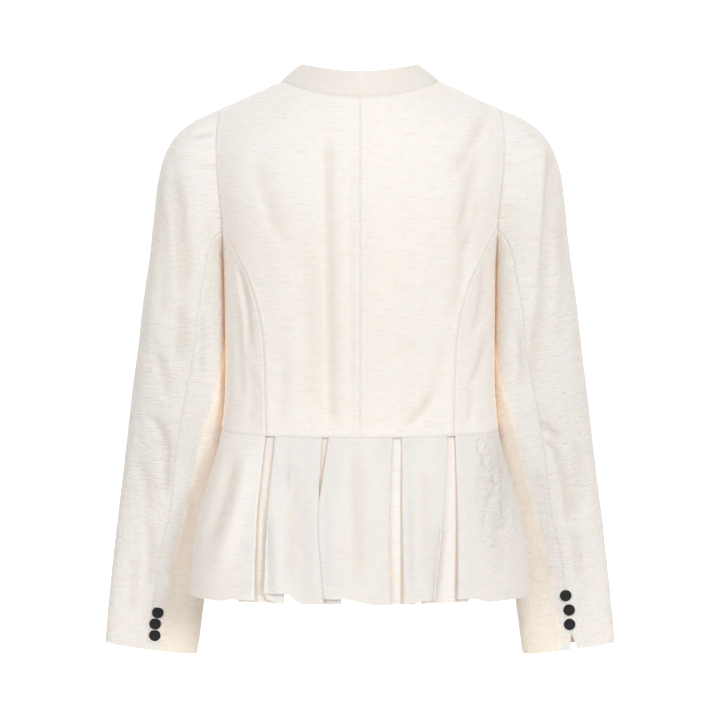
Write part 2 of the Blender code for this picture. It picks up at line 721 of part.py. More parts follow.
def build_peplum(collection):
    half_seam = SEAM / 2
    back = peplum_points(1, BACK_PLEATS, None, 0.0)
    left = peplum_points(-1, FRONT_PLEATS, -LAP, 0.0)
    right = peplum_points(-1, FRONT_PLEATS, -LAP, 1.0)
    for points in (back, left, right):
        points[...] = shrunk(points, half_seam, half_seam)
    cloth_piece(collection, "peplum_back", back)
    cloth_piece(collection, "peplum_front_left", left)
    cloth_piece(collection, "peplum_front_right", mirrored(right))


def build_buttons(collection):
    for side, places in CUFF_BUTTONS.items():
        for number, (x, z) in enumerate(places, 1):
            cuff_button(collection, side, number, x, z)
    for number, z in enumerate(FRONT_BUTTON_HEIGHTS, 1):
        front_button(collection, number, z)


def main():
    for old in list(bpy.data.objects):
        bpy.data.objects.remove(old, do_unlink=True)
    collection = bpy.data.collections.new(NAME)
    bpy.context.scene.collection.children.link(collection)
    build_bodice(collection)
    build_sleeves(collection)
    build_peplum(collection)
    build_buttons(collection)


main()
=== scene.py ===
"""Peplum jacket of ivory slub cloth: its panels, seams, folds, pleats and covered buttons.

Sizes are in metres. +Z is up, the front faces -Y and the wearer's left is +X. Each panel is a
shell on the form of its solid, with seams, creases and crinkles pressed in along its normals.
"""
import math

import bpy
import numpy as np
from bpy.props import FloatProperty, FloatVectorProperty, PointerProperty
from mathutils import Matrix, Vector


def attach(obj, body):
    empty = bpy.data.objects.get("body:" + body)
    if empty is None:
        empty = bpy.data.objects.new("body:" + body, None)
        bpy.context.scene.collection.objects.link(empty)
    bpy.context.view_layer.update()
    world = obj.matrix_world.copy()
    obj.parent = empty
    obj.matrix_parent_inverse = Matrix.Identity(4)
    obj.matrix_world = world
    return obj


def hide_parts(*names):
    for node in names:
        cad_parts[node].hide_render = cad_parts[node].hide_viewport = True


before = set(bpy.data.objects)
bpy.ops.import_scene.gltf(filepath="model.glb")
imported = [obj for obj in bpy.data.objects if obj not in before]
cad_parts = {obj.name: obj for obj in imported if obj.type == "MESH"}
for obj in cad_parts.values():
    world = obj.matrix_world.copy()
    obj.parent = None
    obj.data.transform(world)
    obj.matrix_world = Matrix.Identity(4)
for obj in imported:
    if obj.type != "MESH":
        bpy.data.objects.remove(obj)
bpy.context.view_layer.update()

bl_info = {
    "name": "Peplum Jacket",
    "version": (1, 0, 0),
    "blender": (4, 5, 0),
    "location": "3D View > Sidebar > Jacket",
    "description": "Dresses a peplum jacket in slub cloth with seams, folds and covered buttons",
    "category": "Object",
}

# Heights of the main lines
WAIST = -0.385
HEM = -0.5785
BACK_HEM_RISE = 0.0060  # at the centre back, falling to nothing at the sides
UNDERARM = -0.178
BACK_NECK = 0.0055
FRONT_NECK = -0.0597

# Shoulders: the line's height on the centre line, its slope, and how deep it rolls over
SHOULDER_TOP = 0.0613
SHOULDER_SLOPE = 0.449
SHOULDER_ROLL = 0.075
NECK_HALF = 0.091
SHOULDER_POINT = 0.162

# Sections of the bodice are rounded more squarely than an ellipse
ROUND = 2.4
BODY = (
    # height, half width, back depth, front depth
    (0.025, 0.1750, 0.063, 0.044),
    (-0.012, 0.1750, 0.076, 0.058),
    (-0.050, 0.1750, 0.088, 0.079),
    (-0.100, 0.1710, 0.099, 0.103),
    (-0.146, 0.1630, 0.102, 0.119),
    (-0.178, 0.1585, 0.101, 0.127),
    (-0.215, 0.1575, 0.098, 0.128),
    (-0.250, 0.1570, 0.094, 0.120),
    (-0.300, 0.1565, 0.088, 0.105),
    (-0.345, 0.1575, 0.084, 0.093),
    (-0.385, 0.1610, 0.083, 0.088),
)

# Armhole from the shoulder point down to the underarm, as angles round the bodice
ARMHOLE = (
    # height, back angle, front angle
    (-0.0114, 65.7, 65.7),
    (-0.0250, 68.2, 65.6),
    (-0.0450, 69.8, 64.2),
    (-0.0750, 70.3, 62.4),
    (-0.1100, 71.0, 63.0),
    (-0.1460, 75.5, 69.0),
    (-0.1630, 80.0, 75.5),
    (-0.1740, 85.0, 82.5),
    (UNDERARM, 90.0, 90.0),
)
PRINCESS_START = 5 / 8  # where the princess seam leaves the armhole, as a share of it
PRINCESS = (
    # height, distance from the centre
    (-0.1770, 0.1415),
    (-0.2069, 0.1270),
    (-0.2403, 0.1170),
    (-0.2750, 0.1115),
    (-0.3200, 0.1095),
    (WAIST, 0.1085),
)

# Collar band: how far its top edge leans in and rises at the back, side and front
COLLAR = (
    # angle from the centre back, lean, rise
    (0.0, 0.011, 0.0290),
    (50.0, 0.017, 0.0260),
    (90.0, 0.024, 0.0200),
    (130.0, 0.012, 0.0250),
    (180.0, 0.003, 0.0270),
)
COLLAR_END = 0.0020
COLLAR_BOW = 0.0016

# Fronts: how far each passes the centre, and how the right one lifts over the left
LAP = 0.017
LAP_LIFT = 0.0022
LAP_RAMP_START = 0.021
LAP_RAMP = 0.016

# Sleeve sections, left sleeve: the right one is its mirror image
SLEEVE = (
    # height, outer, inner, middle in depth, half depth, ridge, tilt
    (-0.1920, 0.2446, 0.1592, -0.010, 0.0570, 0.00, 0.200),
    (-0.2450, 0.2528, 0.1586, -0.013, 0.0530, 0.00, 0.140),
    (-0.3000, 0.2602, 0.1574, -0.021, 0.0480, -0.08, 0.126),
    (-0.3500, 0.2675, 0.1566, -0.031, 0.0435, -0.18, 0.126),
    (-0.3850, 0.2722, 0.1602, -0.040, 0.0400, -0.26, 0.126),
    (-0.4300, 0.2780, 0.1668, -0.053, 0.0360, -0.30, 0.126),
    (-0.4800, 0.2849, 0.1745, -0.066, 0.0320, -0.28, 0.126),
    (-0.5350, 0.2923, 0.1795, -0.073, 0.0280, -0.20, 0.126),
    (-0.5900, 0.2986, 0.1865, -0.075, 0.0250, -0.12, 0.126),
    (-0.6583, 0.3056, 0.1961, -0.075, 0.0220, -0.05, 0.126),
)
BICEPS = SLEEVE[0][0]
CUFF = SLEEVE[-1][0]
FORE_SEAM = 232.0  # angles round the sleeve from its outer side, towards the back
HIND_SEAM_TOP = 117.0
HIND_SEAM = (
    # height, distance from the centre
    (-0.1920, 0.1790),
    (-0.2416, 0.1878),
    (-0.2781, 0.1914),
    (-0.3500, 0.2050),
    (-0.4152, 0.2170),
    (-0.4903, 0.2262),
    (-0.5506, 0.2400),
    (-0.5981, 0.2455),
    (CUFF, 0.2560),
)
SLEEVE_TILT = 0.126
SLEEVE_ROUND = 2.7
FOLD_EDGE = (
    # height, distance from the centre of the soft edge down the back of the sleeve
    (-0.146, 0.157),
    (-0.293, 0.159),
    (-0.334, 0.168),
    (-0.386, 0.184),
    (-0.445, 0.198),
    (-0.544, 0.223),
    (-0.592, 0.236),
    (-0.660, 0.240),
)
VENT_HEIGHT = 0.022
VENT_OPEN = {"left": 0.0003, "right": 0.0080}

# Sleeve cap: how it leaves the armhole (out, to front or back, down) and how strongly it is
# drawn at its two ends, each at the underarm and the shoulder
CAP_LEAVE = (0.90, 0.55, -0.28)
CAP_PULL = (0.35, 1.35)
CAP_SETTLE = (0.85, 1.47)

# Peplum sections
PEPLUM = (
    # height, half width, back depth, front depth
    (WAIST, 0.1610, 0.083, 0.088),
    (-0.416, 0.1684, 0.091, 0.091),
    (-0.454, 0.1797, 0.103, 0.095),
    (-0.496, 0.1905, 0.115, 0.099),
    (-0.537, 0.1966, 0.123, 0.102),
    (-0.580, 0.1997, 0.128, 0.104),
)
PLEAT_LAYER = (0.0021, 0.0046)  # from layer to layer, at the waist and at the hem
PLEAT_MIDDLE = 0.45  # share of the depth where the middle places below hold
PLEAT_TURN = 0.0014  # half round of a fold edge
PLEAT_CLEAR = 1.15  # the panel runs on past the turned-under width by this much
# Fold edges of each inverted pleat, by distance from the centre at the waist, midway and
# at the hem, with the height that the hem gains at each edge. +X is first.
BACK_PLEATS = (
    # outer waist, middle, hem, inner waist, middle, hem, outer rise, inner rise, turned under
    (0.1096, 0.1185, 0.1225, 0.0975, 0.1060, 0.1105, 0.003, 0.012, 0.021),
    (0.0437, 0.0480, 0.0425, 0.0360, 0.0468, 0.0410, 0.001, 0.007, 0.020),
    (-0.0368, -0.0330, -0.0342, -0.0480, -0.0490, -0.0505, 0.000, 0.002, 0.014),
    (-0.1002, -0.0955, -0.0856, -0.1105, -0.1125, -0.1132, 0.004, 0.005, 0.014),
)
FRONT_PLEATS = (
    (0.1100, 0.1160, 0.1190, 0.1000, 0.1050, 0.1060, 0.001, 0.003, 0.015),
    (0.0560, 0.0580, 0.0600, 0.0460, 0.0470, 0.0470, 0.002, 0.000, 0.015),
)

# Covered buttons
CUFF_BUTTONS = {
    # distance from the centre, height
    "left": ((0.2414, -0.6120), (0.2446, -0.6260), (0.2451, -0.6400)),
    "right": ((0.2453, -0.5920), (0.2497, -0.6100), (0.2504, -0.6275)),
}
BUTTON_TILTS = (18.0, 13.0, 8.0)  # of each cuff button on its shank, from the top
BUTTON_CROWN = (
    # inset as a share of the radius, lift as a share of the height
    (0.16, 0.13),
    (0.22, 0.13),
    (0.26, 0.09),
    (0.20, 0.04),
)
FRONT_BUTTON_HEIGHTS = (-0.078, -0.149, -0.220, -0.291, -0.362)

# Creases and soft folds of each panel: troughs have a negative height. A face of 1 is the
# back and -1 the front. Lean makes one flank steeper than the other, from -0.8 to 0.8.
CREASES = {
    # face, start x, start z, end x, end z, bend, half width, height, lean
    "centre_back_left": (
        (1, 0.0085, -0.040, 0.0080, -0.380, 0.000, 0.0045, -0.0009, -0.30),
        (1, 0.020, -0.060, 0.018, -0.370, 0.000, 0.0080, 0.0008, 0.00),
        (1, 0.062, -0.150, 0.056, -0.375, 0.002, 0.0130, -0.0009, 0.00),
        (1, 0.118, -0.060, 0.086, -0.165, -0.006, 0.0110, -0.0012, 0.30),
        (1, 0.088, -0.290, 0.092, -0.378, 0.002, 0.0090, -0.0009, 0.00),
    ),
    "centre_back_right": (
        (1, -0.148, -0.010, -0.103, -0.086, 0.004, 0.0075, -0.0017, -0.40),
        (1, -0.136, -0.050, -0.112, -0.150, 0.004, 0.0065, -0.0011, 0.30),
        (1, -0.136, -0.110, -0.118, -0.172, 0.003, 0.0050, -0.0009, 0.30),
        (1, -0.084, -0.338, -0.050, -0.374, 0.004, 0.0055, -0.0020, -0.50),
        (1, -0.096, -0.270, -0.080, -0.345, 0.003, 0.0080, -0.0010, 0.00),
        (1, -0.022, -0.050, -0.018, -0.376, 0.000, 0.0130, 0.0013, 0.00),
        (1, -0.050, -0.290, -0.046, -0.372, 0.003, 0.0080, -0.0005, 0.20),
        (1, -0.070, -0.120, -0.062, -0.300, 0.002, 0.0110, 0.0008, 0.00),
    ),
    "side_back_left": (
        (1, 0.1400, -0.186, 0.1290, -0.292, 0.003, 0.0050, -0.0018, 0.45),
        (1, 0.1440, -0.230, 0.1380, -0.350, 0.002, 0.0055, -0.0010, 0.00),
        (1, 0.1250, -0.300, 0.1280, -0.376, 0.002, 0.0060, -0.0009, 0.00),
    ),
    "side_back_right": (
        (1, -0.1420, -0.190, -0.1300, -0.270, 0.003, 0.0055, -0.0015, 0.30),
        (1, -0.1460, -0.270, -0.1260, -0.330, 0.004, 0.0055, -0.0014, 0.20),
        (1, -0.1300, -0.330, -0.1240, -0.378, 0.002, 0.0060, -0.0010, 0.00),
    ),
    "front_left": (
        (-1, 0.140, -0.060, 0.102, -0.160, 0.005, 0.0090, -0.0022, 0.30),
        (-1, 0.132, -0.110, 0.108, -0.180, 0.003, 0.0060, -0.0013, 0.20),
        (-1, 0.060, -0.338, 0.122, -0.366, 0.006, 0.0085, -0.0018, 0.20),
        (-1, 0.090, -0.240, 0.060, -0.350, 0.004, 0.0110, -0.0012, 0.00),
        (-1, 0.030, -0.170, 0.034, -0.230, 0.002, 0.0060, -0.0008, 0.00),
    ),
    "front_right": (
        (-1, -0.142, -0.070, -0.106, -0.152, 0.005, 0.0090, -0.0021, 0.30),
        (-1, -0.058, -0.354, -0.116, -0.330, 0.005, 0.0080, -0.0018, 0.20),
        (-1, -0.084, -0.250, -0.066, -0.340, 0.004, 0.0110, -0.0011, 0.00),
        (-1, -0.122, -0.120, -0.100, -0.190, 0.003, 0.0070, -0.0012, 0.00),
    ),
    "upper_sleeve_left": (
        (1, 0.192, -0.043, 0.166, -0.041, 0.002, 0.0034, -0.0016, 0.30),
        (1, 0.218, -0.085, 0.206, -0.225, 0.003, 0.0100, -0.0022, 0.30),
        (1, 0.230, -0.100, 0.228, -0.260, 0.004, 0.0090, -0.0012, 0.00),
        (1, 0.210, -0.235, 0.214, -0.310, 0.003, 0.0070, -0.0016, 0.30),
        (1, 0.238, -0.290, 0.226, -0.350, 0.004, 0.0080, -0.0015, 0.00),
        (1, 0.246, -0.370, 0.226, -0.420, 0.004, 0.0065, -0.0018, 0.30),
        (1, 0.234, -0.400, 0.230, -0.470, 0.003, 0.0070, -0.0020, 0.30),
        (1, 0.262, -0.420, 0.252, -0.500, 0.004, 0.0080, -0.0014, 0.00),
        (1, 0.252, -0.500, 0.254, -0.585, 0.003, 0.0080, -0.0016, 0.20),
        (1, 0.272, -0.540, 0.276, -0.620, 0.003, 0.0080, -0.0012, 0.00),
        (-1, 0.186, -0.286, 0.246, -0.322, 0.008, 0.0085, -0.0030, 0.30),
        (-1, 0.192, -0.330, 0.248, -0.338, -0.006, 0.0075, -0.0026, -0.30),
        (-1, 0.196, -0.372, 0.240, -0.352, 0.006, 0.0080, -0.0020, 0.20),
        (-1, 0.214, -0.090, 0.206, -0.240, 0.004, 0.0100, -0.0018, 0.00),
    ),
    "upper_sleeve_right": (
        (1, -0.194, -0.040, -0.203, -0.042, 0.001, 0.0030, -0.0016, 0.30),
        (1, -0.2060, -0.378, -0.2330, -0.404, 0.003, 0.0050, -0.0024, 0.40),
        (1, -0.2160, -0.400, -0.2340, -0.430, 0.004, 0.0050, -0.0018, 0.30),
        (1, -0.2320, -0.120, -0.2300, -0.290, 0.004, 0.0090, -0.0012, 0.00),
        (1, -0.2300, -0.420, -0.2460, -0.510, 0.004, 0.0070, -0.0020, 0.40),
        (1, -0.2560, -0.400, -0.2560, -0.500, 0.004, 0.0090, -0.0012, 0.00),
        (1, -0.2500, -0.510, -0.2580, -0.580, 0.003, 0.0070, -0.0016, 0.20),
        (-1, -0.188, -0.300, -0.244, -0.326, 0.008, 0.0085, -0.0030, 0.30),
        (-1, -0.196, -0.346, -0.246, -0.344, -0.006, 0.0075, -0.0024, -0.30),
        (-1, -0.200, -0.388, -0.240, -0.364, 0.006, 0.0080, -0.0018, 0.20),
        (-1, -0.216, -0.100, -0.208, -0.250, 0.004, 0.0100, -0.0018, 0.00),
    ),
    "under_sleeve_left": (
        (1, 0.168, -0.340, 0.184, -0.392, 0.002, 0.0060, 0.0012, 0.20),
        (1, 0.184, -0.386, 0.203, -0.465, 0.002, 0.0060, 0.0014, 0.20),
        (1, 0.203, -0.465, 0.223, -0.545, 0.002, 0.0060, 0.0013, 0.20),
        (1, 0.223, -0.545, 0.236, -0.600, 0.001, 0.0050, 0.0010, 0.20),
        (1, 0.172, -0.148, 0.157, -0.150, 0.002, 0.0030, -0.0016, 0.00),
        (1, 0.184, -0.250, 0.186, -0.330, 0.003, 0.0060, -0.0014, 0.20),
        (1, 0.200, -0.420, 0.206, -0.500, 0.003, 0.0060, -0.0012, 0.20),
    ),
    "under_sleeve_right": (
        (1, -0.168, -0.340, -0.184, -0.392, 0.002, 0.0060, 0.0012, -0.20),
        (1, -0.184, -0.386, -0.203, -0.455, 0.002, 0.0060, 0.0015, -0.20),
        (1, -0.203, -0.455, -0.225, -0.525, 0.002, 0.0060, 0.0013, -0.20),
        (1, -0.225, -0.525, -0.238, -0.600, 0.001, 0.0050, 0.0010, -0.20),
        (1, -0.158, -0.133, -0.171, -0.152, 0.001, 0.0028, -0.0016, 0.00),
        (1, -0.182, -0.260, -0.184, -0.340, 0.003, 0.0060, -0.0014, 0.20),
        (1, -0.204, -0.430, -0.212, -0.510, 0.003, 0.0060, -0.0012, 0.20),
    ),
    "peplum_back": (
        (1, 0.1080, -0.470, 0.1050, -0.575, 0.001, 0.0050, -0.0012, 0.00),
        (1, 0.0960, -0.460, 0.0940, -0.575, 0.001, 0.0060, 0.0014, 0.00),
        (1, 0.0520, -0.440, 0.0500, -0.575, 0.001, 0.0060, 0.0010, 0.00),
        (1, 0.0330, -0.440, 0.0330, -0.575, 0.001, 0.0050, 0.0010, 0.00),
        (1, -0.0560, -0.440, -0.0590, -0.560, 0.001, 0.0050, -0.0012, 0.20),
        (1, -0.0930, -0.470, -0.0820, -0.590, 0.000, 0.0070, -0.0012, 0.00),
        (1, -0.1180, -0.420, -0.1220, -0.575, 0.001, 0.0060, 0.0010, 0.00),
        (1, 0.1260, -0.396, 0.1670, -0.545, 0.006, 0.0110, 0.0030, -0.30),
        (1, 0.1450, -0.405, 0.1800, -0.520, 0.004, 0.0090, -0.0020, 0.20),
        (1, 0.0780, -0.400, 0.0860, -0.560, 0.003, 0.0100, -0.0014, 0.00),
        (1, 0.0600, -0.430, 0.0560, -0.570, 0.002, 0.0080, 0.0010, 0.00),
        (1, 0.0080, -0.392, 0.0040, -0.560, 0.002, 0.0090, -0.0018, 0.20),
        (1, 0.0240, -0.400, 0.0260, -0.560, 0.002, 0.0080, 0.0010, 0.00),
        (1, -0.0180, -0.410, -0.0160, -0.560, 0.002, 0.0100, 0.0008, 0.00),
        (1, -0.0720, -0.400, -0.0740, -0.560, 0.003, 0.0090, -0.0012, 0.00),
        (1, -0.1400, -0.3890, -0.1440, -0.4120, -0.006, 0.0022, -0.0011, 0.30),
        (1, -0.1440, -0.4080, -0.1520, -0.4300, -0.004, 0.0024, -0.0012, -0.30),
        (1, -0.1520, -0.4280, -0.1500, -0.4640, 0.003, 0.0028, -0.0011, 0.30),
        (1, -0.1460, -0.4300, -0.1430, -0.4720, 0.003, 0.0030, -0.0009, 0.00),
        (1, -0.1540, -0.4400, -0.1560, -0.4900, 0.004, 0.0030, 0.0010, 0.30),
        (1, -0.1590, -0.4100, -0.1640, -0.4480, 0.004, 0.0026, -0.0010, 0.30),
        (1, -0.1480, -0.4680, -0.1420, -0.5100, -0.003, 0.0036, -0.0009, -0.30),
        (1, -0.1560, -0.4800, -0.1520, -0.5200, 0.003, 0.0034, -0.0009, 0.20),
        (1, -0.1620, -0.4560, -0.1650, -0.5000, 0.003, 0.0034, -0.0009, 0.20),
        (1, -0.1360, -0.4100, -0.1330, -0.4700, 0.003, 0.0060, -0.0008, 0.00),
        (1, -0.1690, -0.4700, -0.1720, -0.5200, 0.003, 0.0050, 0.0010, 0.20),
        (1, -0.1640, -0.5000, -0.1620, -0.5500, 0.002, 0.0060, -0.0007, 0.00),
    ),
    "peplum_front_left": (
        (-1, 0.1380, -0.405, 0.1540, -0.545, 0.004, 0.0100, 0.0026, -0.20),
        (-1, 0.0820, -0.400, 0.0840, -0.550, 0.002, 0.0090, -0.0014, 0.00),
        (-1, 0.0280, -0.400, 0.0300, -0.550, 0.002, 0.0090, -0.0010, 0.00),
    ),
    "peplum_front_right": (
        (-1, -0.1360, -0.400, -0.1560, -0.530, 0.004, 0.0100, 0.0026, -0.20),
        (-1, -0.0800, -0.400, -0.0830, -0.550, 0.002, 0.0090, -0.0015, 0.00),
        (-1, -0.0300, -0.400, -0.0280, -0.550, 0.002, 0.0090, -0.0010, 0.00),
    ),
}

# Long folds down the back of a panel: the line's places, its half width towards the centre
# and away from it, and its height
LONG_FOLDS = {
    "upper_sleeve_right": (
        (
            # height, distance from the centre
            ((-0.046, 0.2196), (-0.110, 0.2140), (-0.180, 0.2085), (-0.250, 0.2040),
             (-0.300, 0.1975), (-0.345, 0.1940), (-0.390, 0.2060)),
            0.0030, 0.0120, -0.0022,
        ),
    ),
    "upper_sleeve_left": (
        (
            ((-0.060, 0.2150), (-0.140, 0.2080), (-0.230, 0.2050), (-0.300, 0.2110)),
            0.0100, 0.0050, -0.0009,
        ),
    ),
    "centre_back_left": (
        (
            ((-0.040, 0.0380), (-0.180, 0.0368), (-0.376, 0.0330)),
            0.0095, 0.0035, -0.0020,
        ),
    ),
    "centre_back_right": (
        (
            ((-0.060, 0.1290), (-0.120, 0.1210), (-0.190, 0.1180), (-0.260, 0.1130)),
            0.0110, 0.0060, -0.0012,
        ),
    ),
}

# How the cloth is pressed and crinkled on its form
FOLD_SHADE_DEPTH = 0.0022  # a trough this deep has the full shade of a fold
SAG = (0.0009, 0.055, 0.120)  # of a panel between its seams: height, width and length
SEAM_CALM = 0.010  # folds and crinkles fade out this near to a seam
HEM_LIFT = 0.0004  # the turned hem's second layer
STITCH_DIP = (0.00015, 0.0011)  # along the hem's stitching: depth and half width
PUCKER_LENGTH = 0.0115  # from ripple to ripple along a seam
PUCKER_BAND = (0.0040, 0.0055)  # distance from the seam and half width
ALLOWANCE_BAND = (0.0062, 0.0040)  # the same two, where the pressed allowance shows
CRINKLES = (
    # slant, width, length, weight
    (0.30, 0.0075, 0.034, 0.9),
    (-0.55, 0.0060, 0.026, 0.7),
)
LATTICE = (97, 89)  # patches before the smooth noise repeats
SLEEVE_CRUSH = 1.0  # strength of the sharp small crinkles
BODY_CRUSH = 0.35
# The finely crushed patch on the peplum: x, height, half width, half height, strength
CRUSHED_PATCH = (-0.155, -0.45, 0.024, 0.075, 1.9)
SMOOTH_BELOW = 55.0  # degrees: sharper edges, such as a panel's rim, stay crisp

# Painted light and shade of each part of the cloth: 0 is grey painted shade, 0.5 neutral, 1
# painted warm light, 2 a painted glow of light from behind
BODY_PAINTED_LIGHT = 0.48
UPPER_SLEEVE_PAINTED_LIGHT = 0.50
UNDER_SLEEVE_PAINTED_LIGHT = 0.55
PEPLUM_PAINTED_LIGHT = 0.12
COLLAR_PAINTED_LIGHT = 0.0

# Thick threads of the weave, as patches of noise
SLUBS = {
    # patches per metre across, down and in depth, detail, roughness, where it starts, full
    "long": ((34.0, 560.0, 1.0), 3.0, 0.62, 0.50, 0.74),
    "short": ((85.0, 900.0, 1.0), 2.0, 0.50, 0.58, 0.76),
    "pale": ((60.0, 700.0, 7.0), 2.0, 0.50, 0.56, 0.78),
    "upright": ((1100.0, 90.0, 1.0), 2.0, 0.50, 0.52, 0.85),
}
CENTIMETRES = 100.0  # a ramp spans 0 to 1, so distances go into it in centimetres
STITCH_LENGTH = 0.0030
STITCH_COLOUR = (0.95, 0.93, 0.88, 1.0)
# Painted shade: the warm dark line in the valley of a seam
SEAM_SHADE_COLOUR = (0.80, 0.62, 0.44, 1.0)
LINT_COLOUR = (0.035, 0.034, 0.036, 1.0)

# Studio
SURROUND_COLOUR = (1.0, 0.950, 0.920, 1.0)
BEHIND_STRENGTH = 1.1  # of the white that the camera sees behind the jacket
LAMPS = (
    # name, azimuth, elevation, spread, strength, colour
    ("key_lamp", 208.0, 20.0, 16.0, 1.22, (1.0, 0.998, 0.996)),
    ("second_lamp", 150.0, 6.0, 40.0, 1.02, (1.0, 0.998, 0.996)),
    ("front_lamp", 20.0, 28.0, 50.0, 1.30, (1.0, 0.995, 0.985)),
    ("front_fill_lamp", 325.0, 16.0, 60.0, 0.80, (1.0, 0.995, 0.985)),
)


class JacketCloth(bpy.types.PropertyGroup):
    """The cloth that every panel is cut from."""

    thickness: FloatProperty(
        name="Thickness", description="Wall of one panel", default=0.0012, unit="LENGTH"
    )
    seam_sink: FloatProperty(
        name="Seam sink", description="How deep a seam lies", default=0.00012, unit="LENGTH"
    )
    seam_width: FloatProperty(
        name="Seam width", description="Half width of the valley at a seam", default=0.0010,
        unit="LENGTH",
    )
    seam_ridge: FloatProperty(
        name="Seam ridge", description="How far the pressed allowance shows", default=0.00034,
        unit="LENGTH",
    )
    pucker: FloatProperty(
        name="Pucker", description="Height of the ripples along a seam", default=0.00030,
        unit="LENGTH",
    )
    crease: FloatProperty(
        name="Crease depth", description="Multiplies every crease and fold", default=2.0
    )
    body_crinkle: FloatProperty(
        name="Body crinkle", description="Height of the fine crinkles of the body",
        default=0.00016, unit="LENGTH",
    )
    sleeve_crinkle: FloatProperty(
        name="Sleeve crinkle", description="Height of the fine crinkles of the sleeves",
        default=0.00042, unit="LENGTH",
    )
    hem_depth: FloatProperty(
        name="Hem", description="Depth of the turned and stitched hem", default=0.0165,
        unit="LENGTH",
    )
    colour: FloatVectorProperty(
        name="Cloth", description="Ground colour", subtype="COLOR", size=4,
        default=(0.886, 0.854, 0.828, 1.0),
    )
    # Painted shade: the grey that the cloth turns towards where less light falls, as on the
    # peplum and collar
    painted_shade_grey: FloatVectorProperty(
        name="Painted shade grey", description="Painted shade where less light falls", subtype="COLOR",
        size=4, default=(0.790, 0.772, 0.750, 1.0),
    )
    glow_colour: FloatVectorProperty(
        name="Glow", description="Colour where light comes through a fold", subtype="COLOR",
        size=4, default=(0.965, 0.805, 0.680, 1.0),
    )
    warm_colour: FloatVectorProperty(
        name="Warm cloth", description="Colour where light comes through", subtype="COLOR",
        size=4, default=(0.955, 0.874, 0.804, 1.0),
    )
    shade_colour: FloatVectorProperty(
        name="Fold shade", description="Colour at the bottom of a fold", subtype="COLOR",
        size=4, default=(0.640, 0.575, 0.510, 1.0),
    )
    through_colour: FloatVectorProperty(
        name="Light through", description="Light that comes through the cloth in narrow gaps",
        subtype="COLOR", size=4, default=(0.220, 0.165, 0.125, 1.0),
    )
    slub_colour: FloatVectorProperty(
        name="Slub", description="Colour of the thick threads", subtype="COLOR", size=4,
        default=(0.780, 0.660, 0.520, 1.0),
    )


class JacketButtons(bpy.types.PropertyGroup):
    """The covered buttons."""

    cuff_radius: FloatProperty(
        name="Cuff button", description="Radius of a cuff button", default=0.0070, unit="LENGTH"
    )
    cuff_height: FloatProperty(
        name="Cuff button height", description="Height of a cuff button", default=0.0042,
        unit="LENGTH",
    )
    front_radius: FloatProperty(
        name="Front button", description="Radius of a front button", default=0.0090,
        unit="LENGTH",
    )
    front_height: FloatProperty(
        name="Front button height", description="Height of a front button", default=0.0052,
        unit="LENGTH",
    )
    colour: FloatVectorProperty(
        name="Cover", description="Colour of the cover", subtype="COLOR", size=4,
        default=(0.010, 0.010, 0.011, 1.0),
    )


class JacketStudio(bpy.types.PropertyGroup):
    """The floor, the lights and the camera."""

    distance: FloatProperty(
        name="Distance", description="From the camera to the jacket", default=4.0,
        unit="LENGTH",
    )
    elevation: FloatProperty(
        name="Elevation", description="Of the camera above level", subtype="ANGLE",
        default=math.radians(6.0),
    )
    height: FloatProperty(
        name="Height", description="Of the point that the camera looks at", default=-0.3042,
        unit="LENGTH",
    )
    view_width: FloatProperty(
        name="View width", description="What the frame spans at the jacket", default=0.8424,
        unit="LENGTH",
    )
    floor_height: FloatProperty(
        name="Floor", description="Height of the floor under the worn jacket", default=-1.38,
        unit="LENGTH",
    )
    floor_glow: FloatProperty(
        name="Floor glow", description="Keeps the floor as pale as the surround", default=0.6
    )
    surround: FloatProperty(
        name="Surround", description="Strength of the light from all round", default=0.60
    )
    floor_colour: FloatVectorProperty(
        name="Floor colour", description="Pale floor", subtype="COLOR", size=4,
        default=(0.90, 0.90, 0.89, 1.0),
    )


def curve(start, end, leave, reach, share):
    """A smooth line from start to end that leaves and arrives at the given slopes."""
    square = 3 * (end - start) - 2 * leave - reach
    cube = 2 * (start - end) + leave + reach
    return start + share * (leave + share * (square + share * cube))


def read(table, key):
    """Values of a table at keys of its first column, on a smooth curve through its rows."""
    rows = np.array(sorted(table), float)
    keys, values = rows[:, 0], rows[:, 1:]
    slopes = np.gradient(values, keys, axis=0)
    key = np.clip(np.asarray(key, float), keys[0], keys[-1])
    row = np.clip(np.searchsorted(keys, key) - 1, 0, len(keys) - 2)
    span = (keys[row + 1] - keys[row])[..., None]
    share = (key - keys[row])[..., None] / span
    start, end = values[row], values[row + 1]
    leave, reach = slopes[row] * span, slopes[row + 1] * span
    return np.moveaxis(curve(start, end, leave, reach, share), -1, 0)


def ease(share):
    share = np.clip(share, 0.0, 1.0)
    return share * share * (3 - 2 * share)


def bell(away, half_width):
    return np.exp(-((away / half_width) ** 2))


def power(value, exponent):
    return np.sign(value) * np.abs(value) ** exponent


def shoulder_height(x):
    return SHOULDER_TOP - SHOULDER_SLOPE * np.abs(x)


def body_point(face, angle, z):
    """The bodice at an angle from its centre line: face is 1 on the back, -1 on the front."""
    half, back, front = read(BODY, z)
    turn = np.radians(angle)
    x = half * power(np.sin(turn), 2 / ROUND)
    depth = np.where(face > 0, back, front) * power(np.cos(turn), 2 / ROUND)
    drop = np.clip((shoulder_height(x) - z) / SHOULDER_ROLL, 0.0, 1.0)
    y = face * depth * np.sqrt(1 - (1 - drop) ** 2)
    return np.stack([x, y, z * np.ones_like(x)], axis=-1)


def body_angle(x, z):
    """The angle round the bodice of a point at a distance from the centre."""
    half = read(BODY, z)[0]
    return np.degrees(np.arcsin(np.clip(power(x / half, ROUND / 2), -1.0, 1.0)))


def neck_height(face, x):
    across = np.abs(x) / NECK_HALF
    side = shoulder_height(NECK_HALF)
    if face > 0:
        return BACK_NECK + (side - BACK_NECK) * across**2
    return side - (side - FRONT_NECK) * np.clip(1 - across**2, 0.0, 1.0) ** 0.75


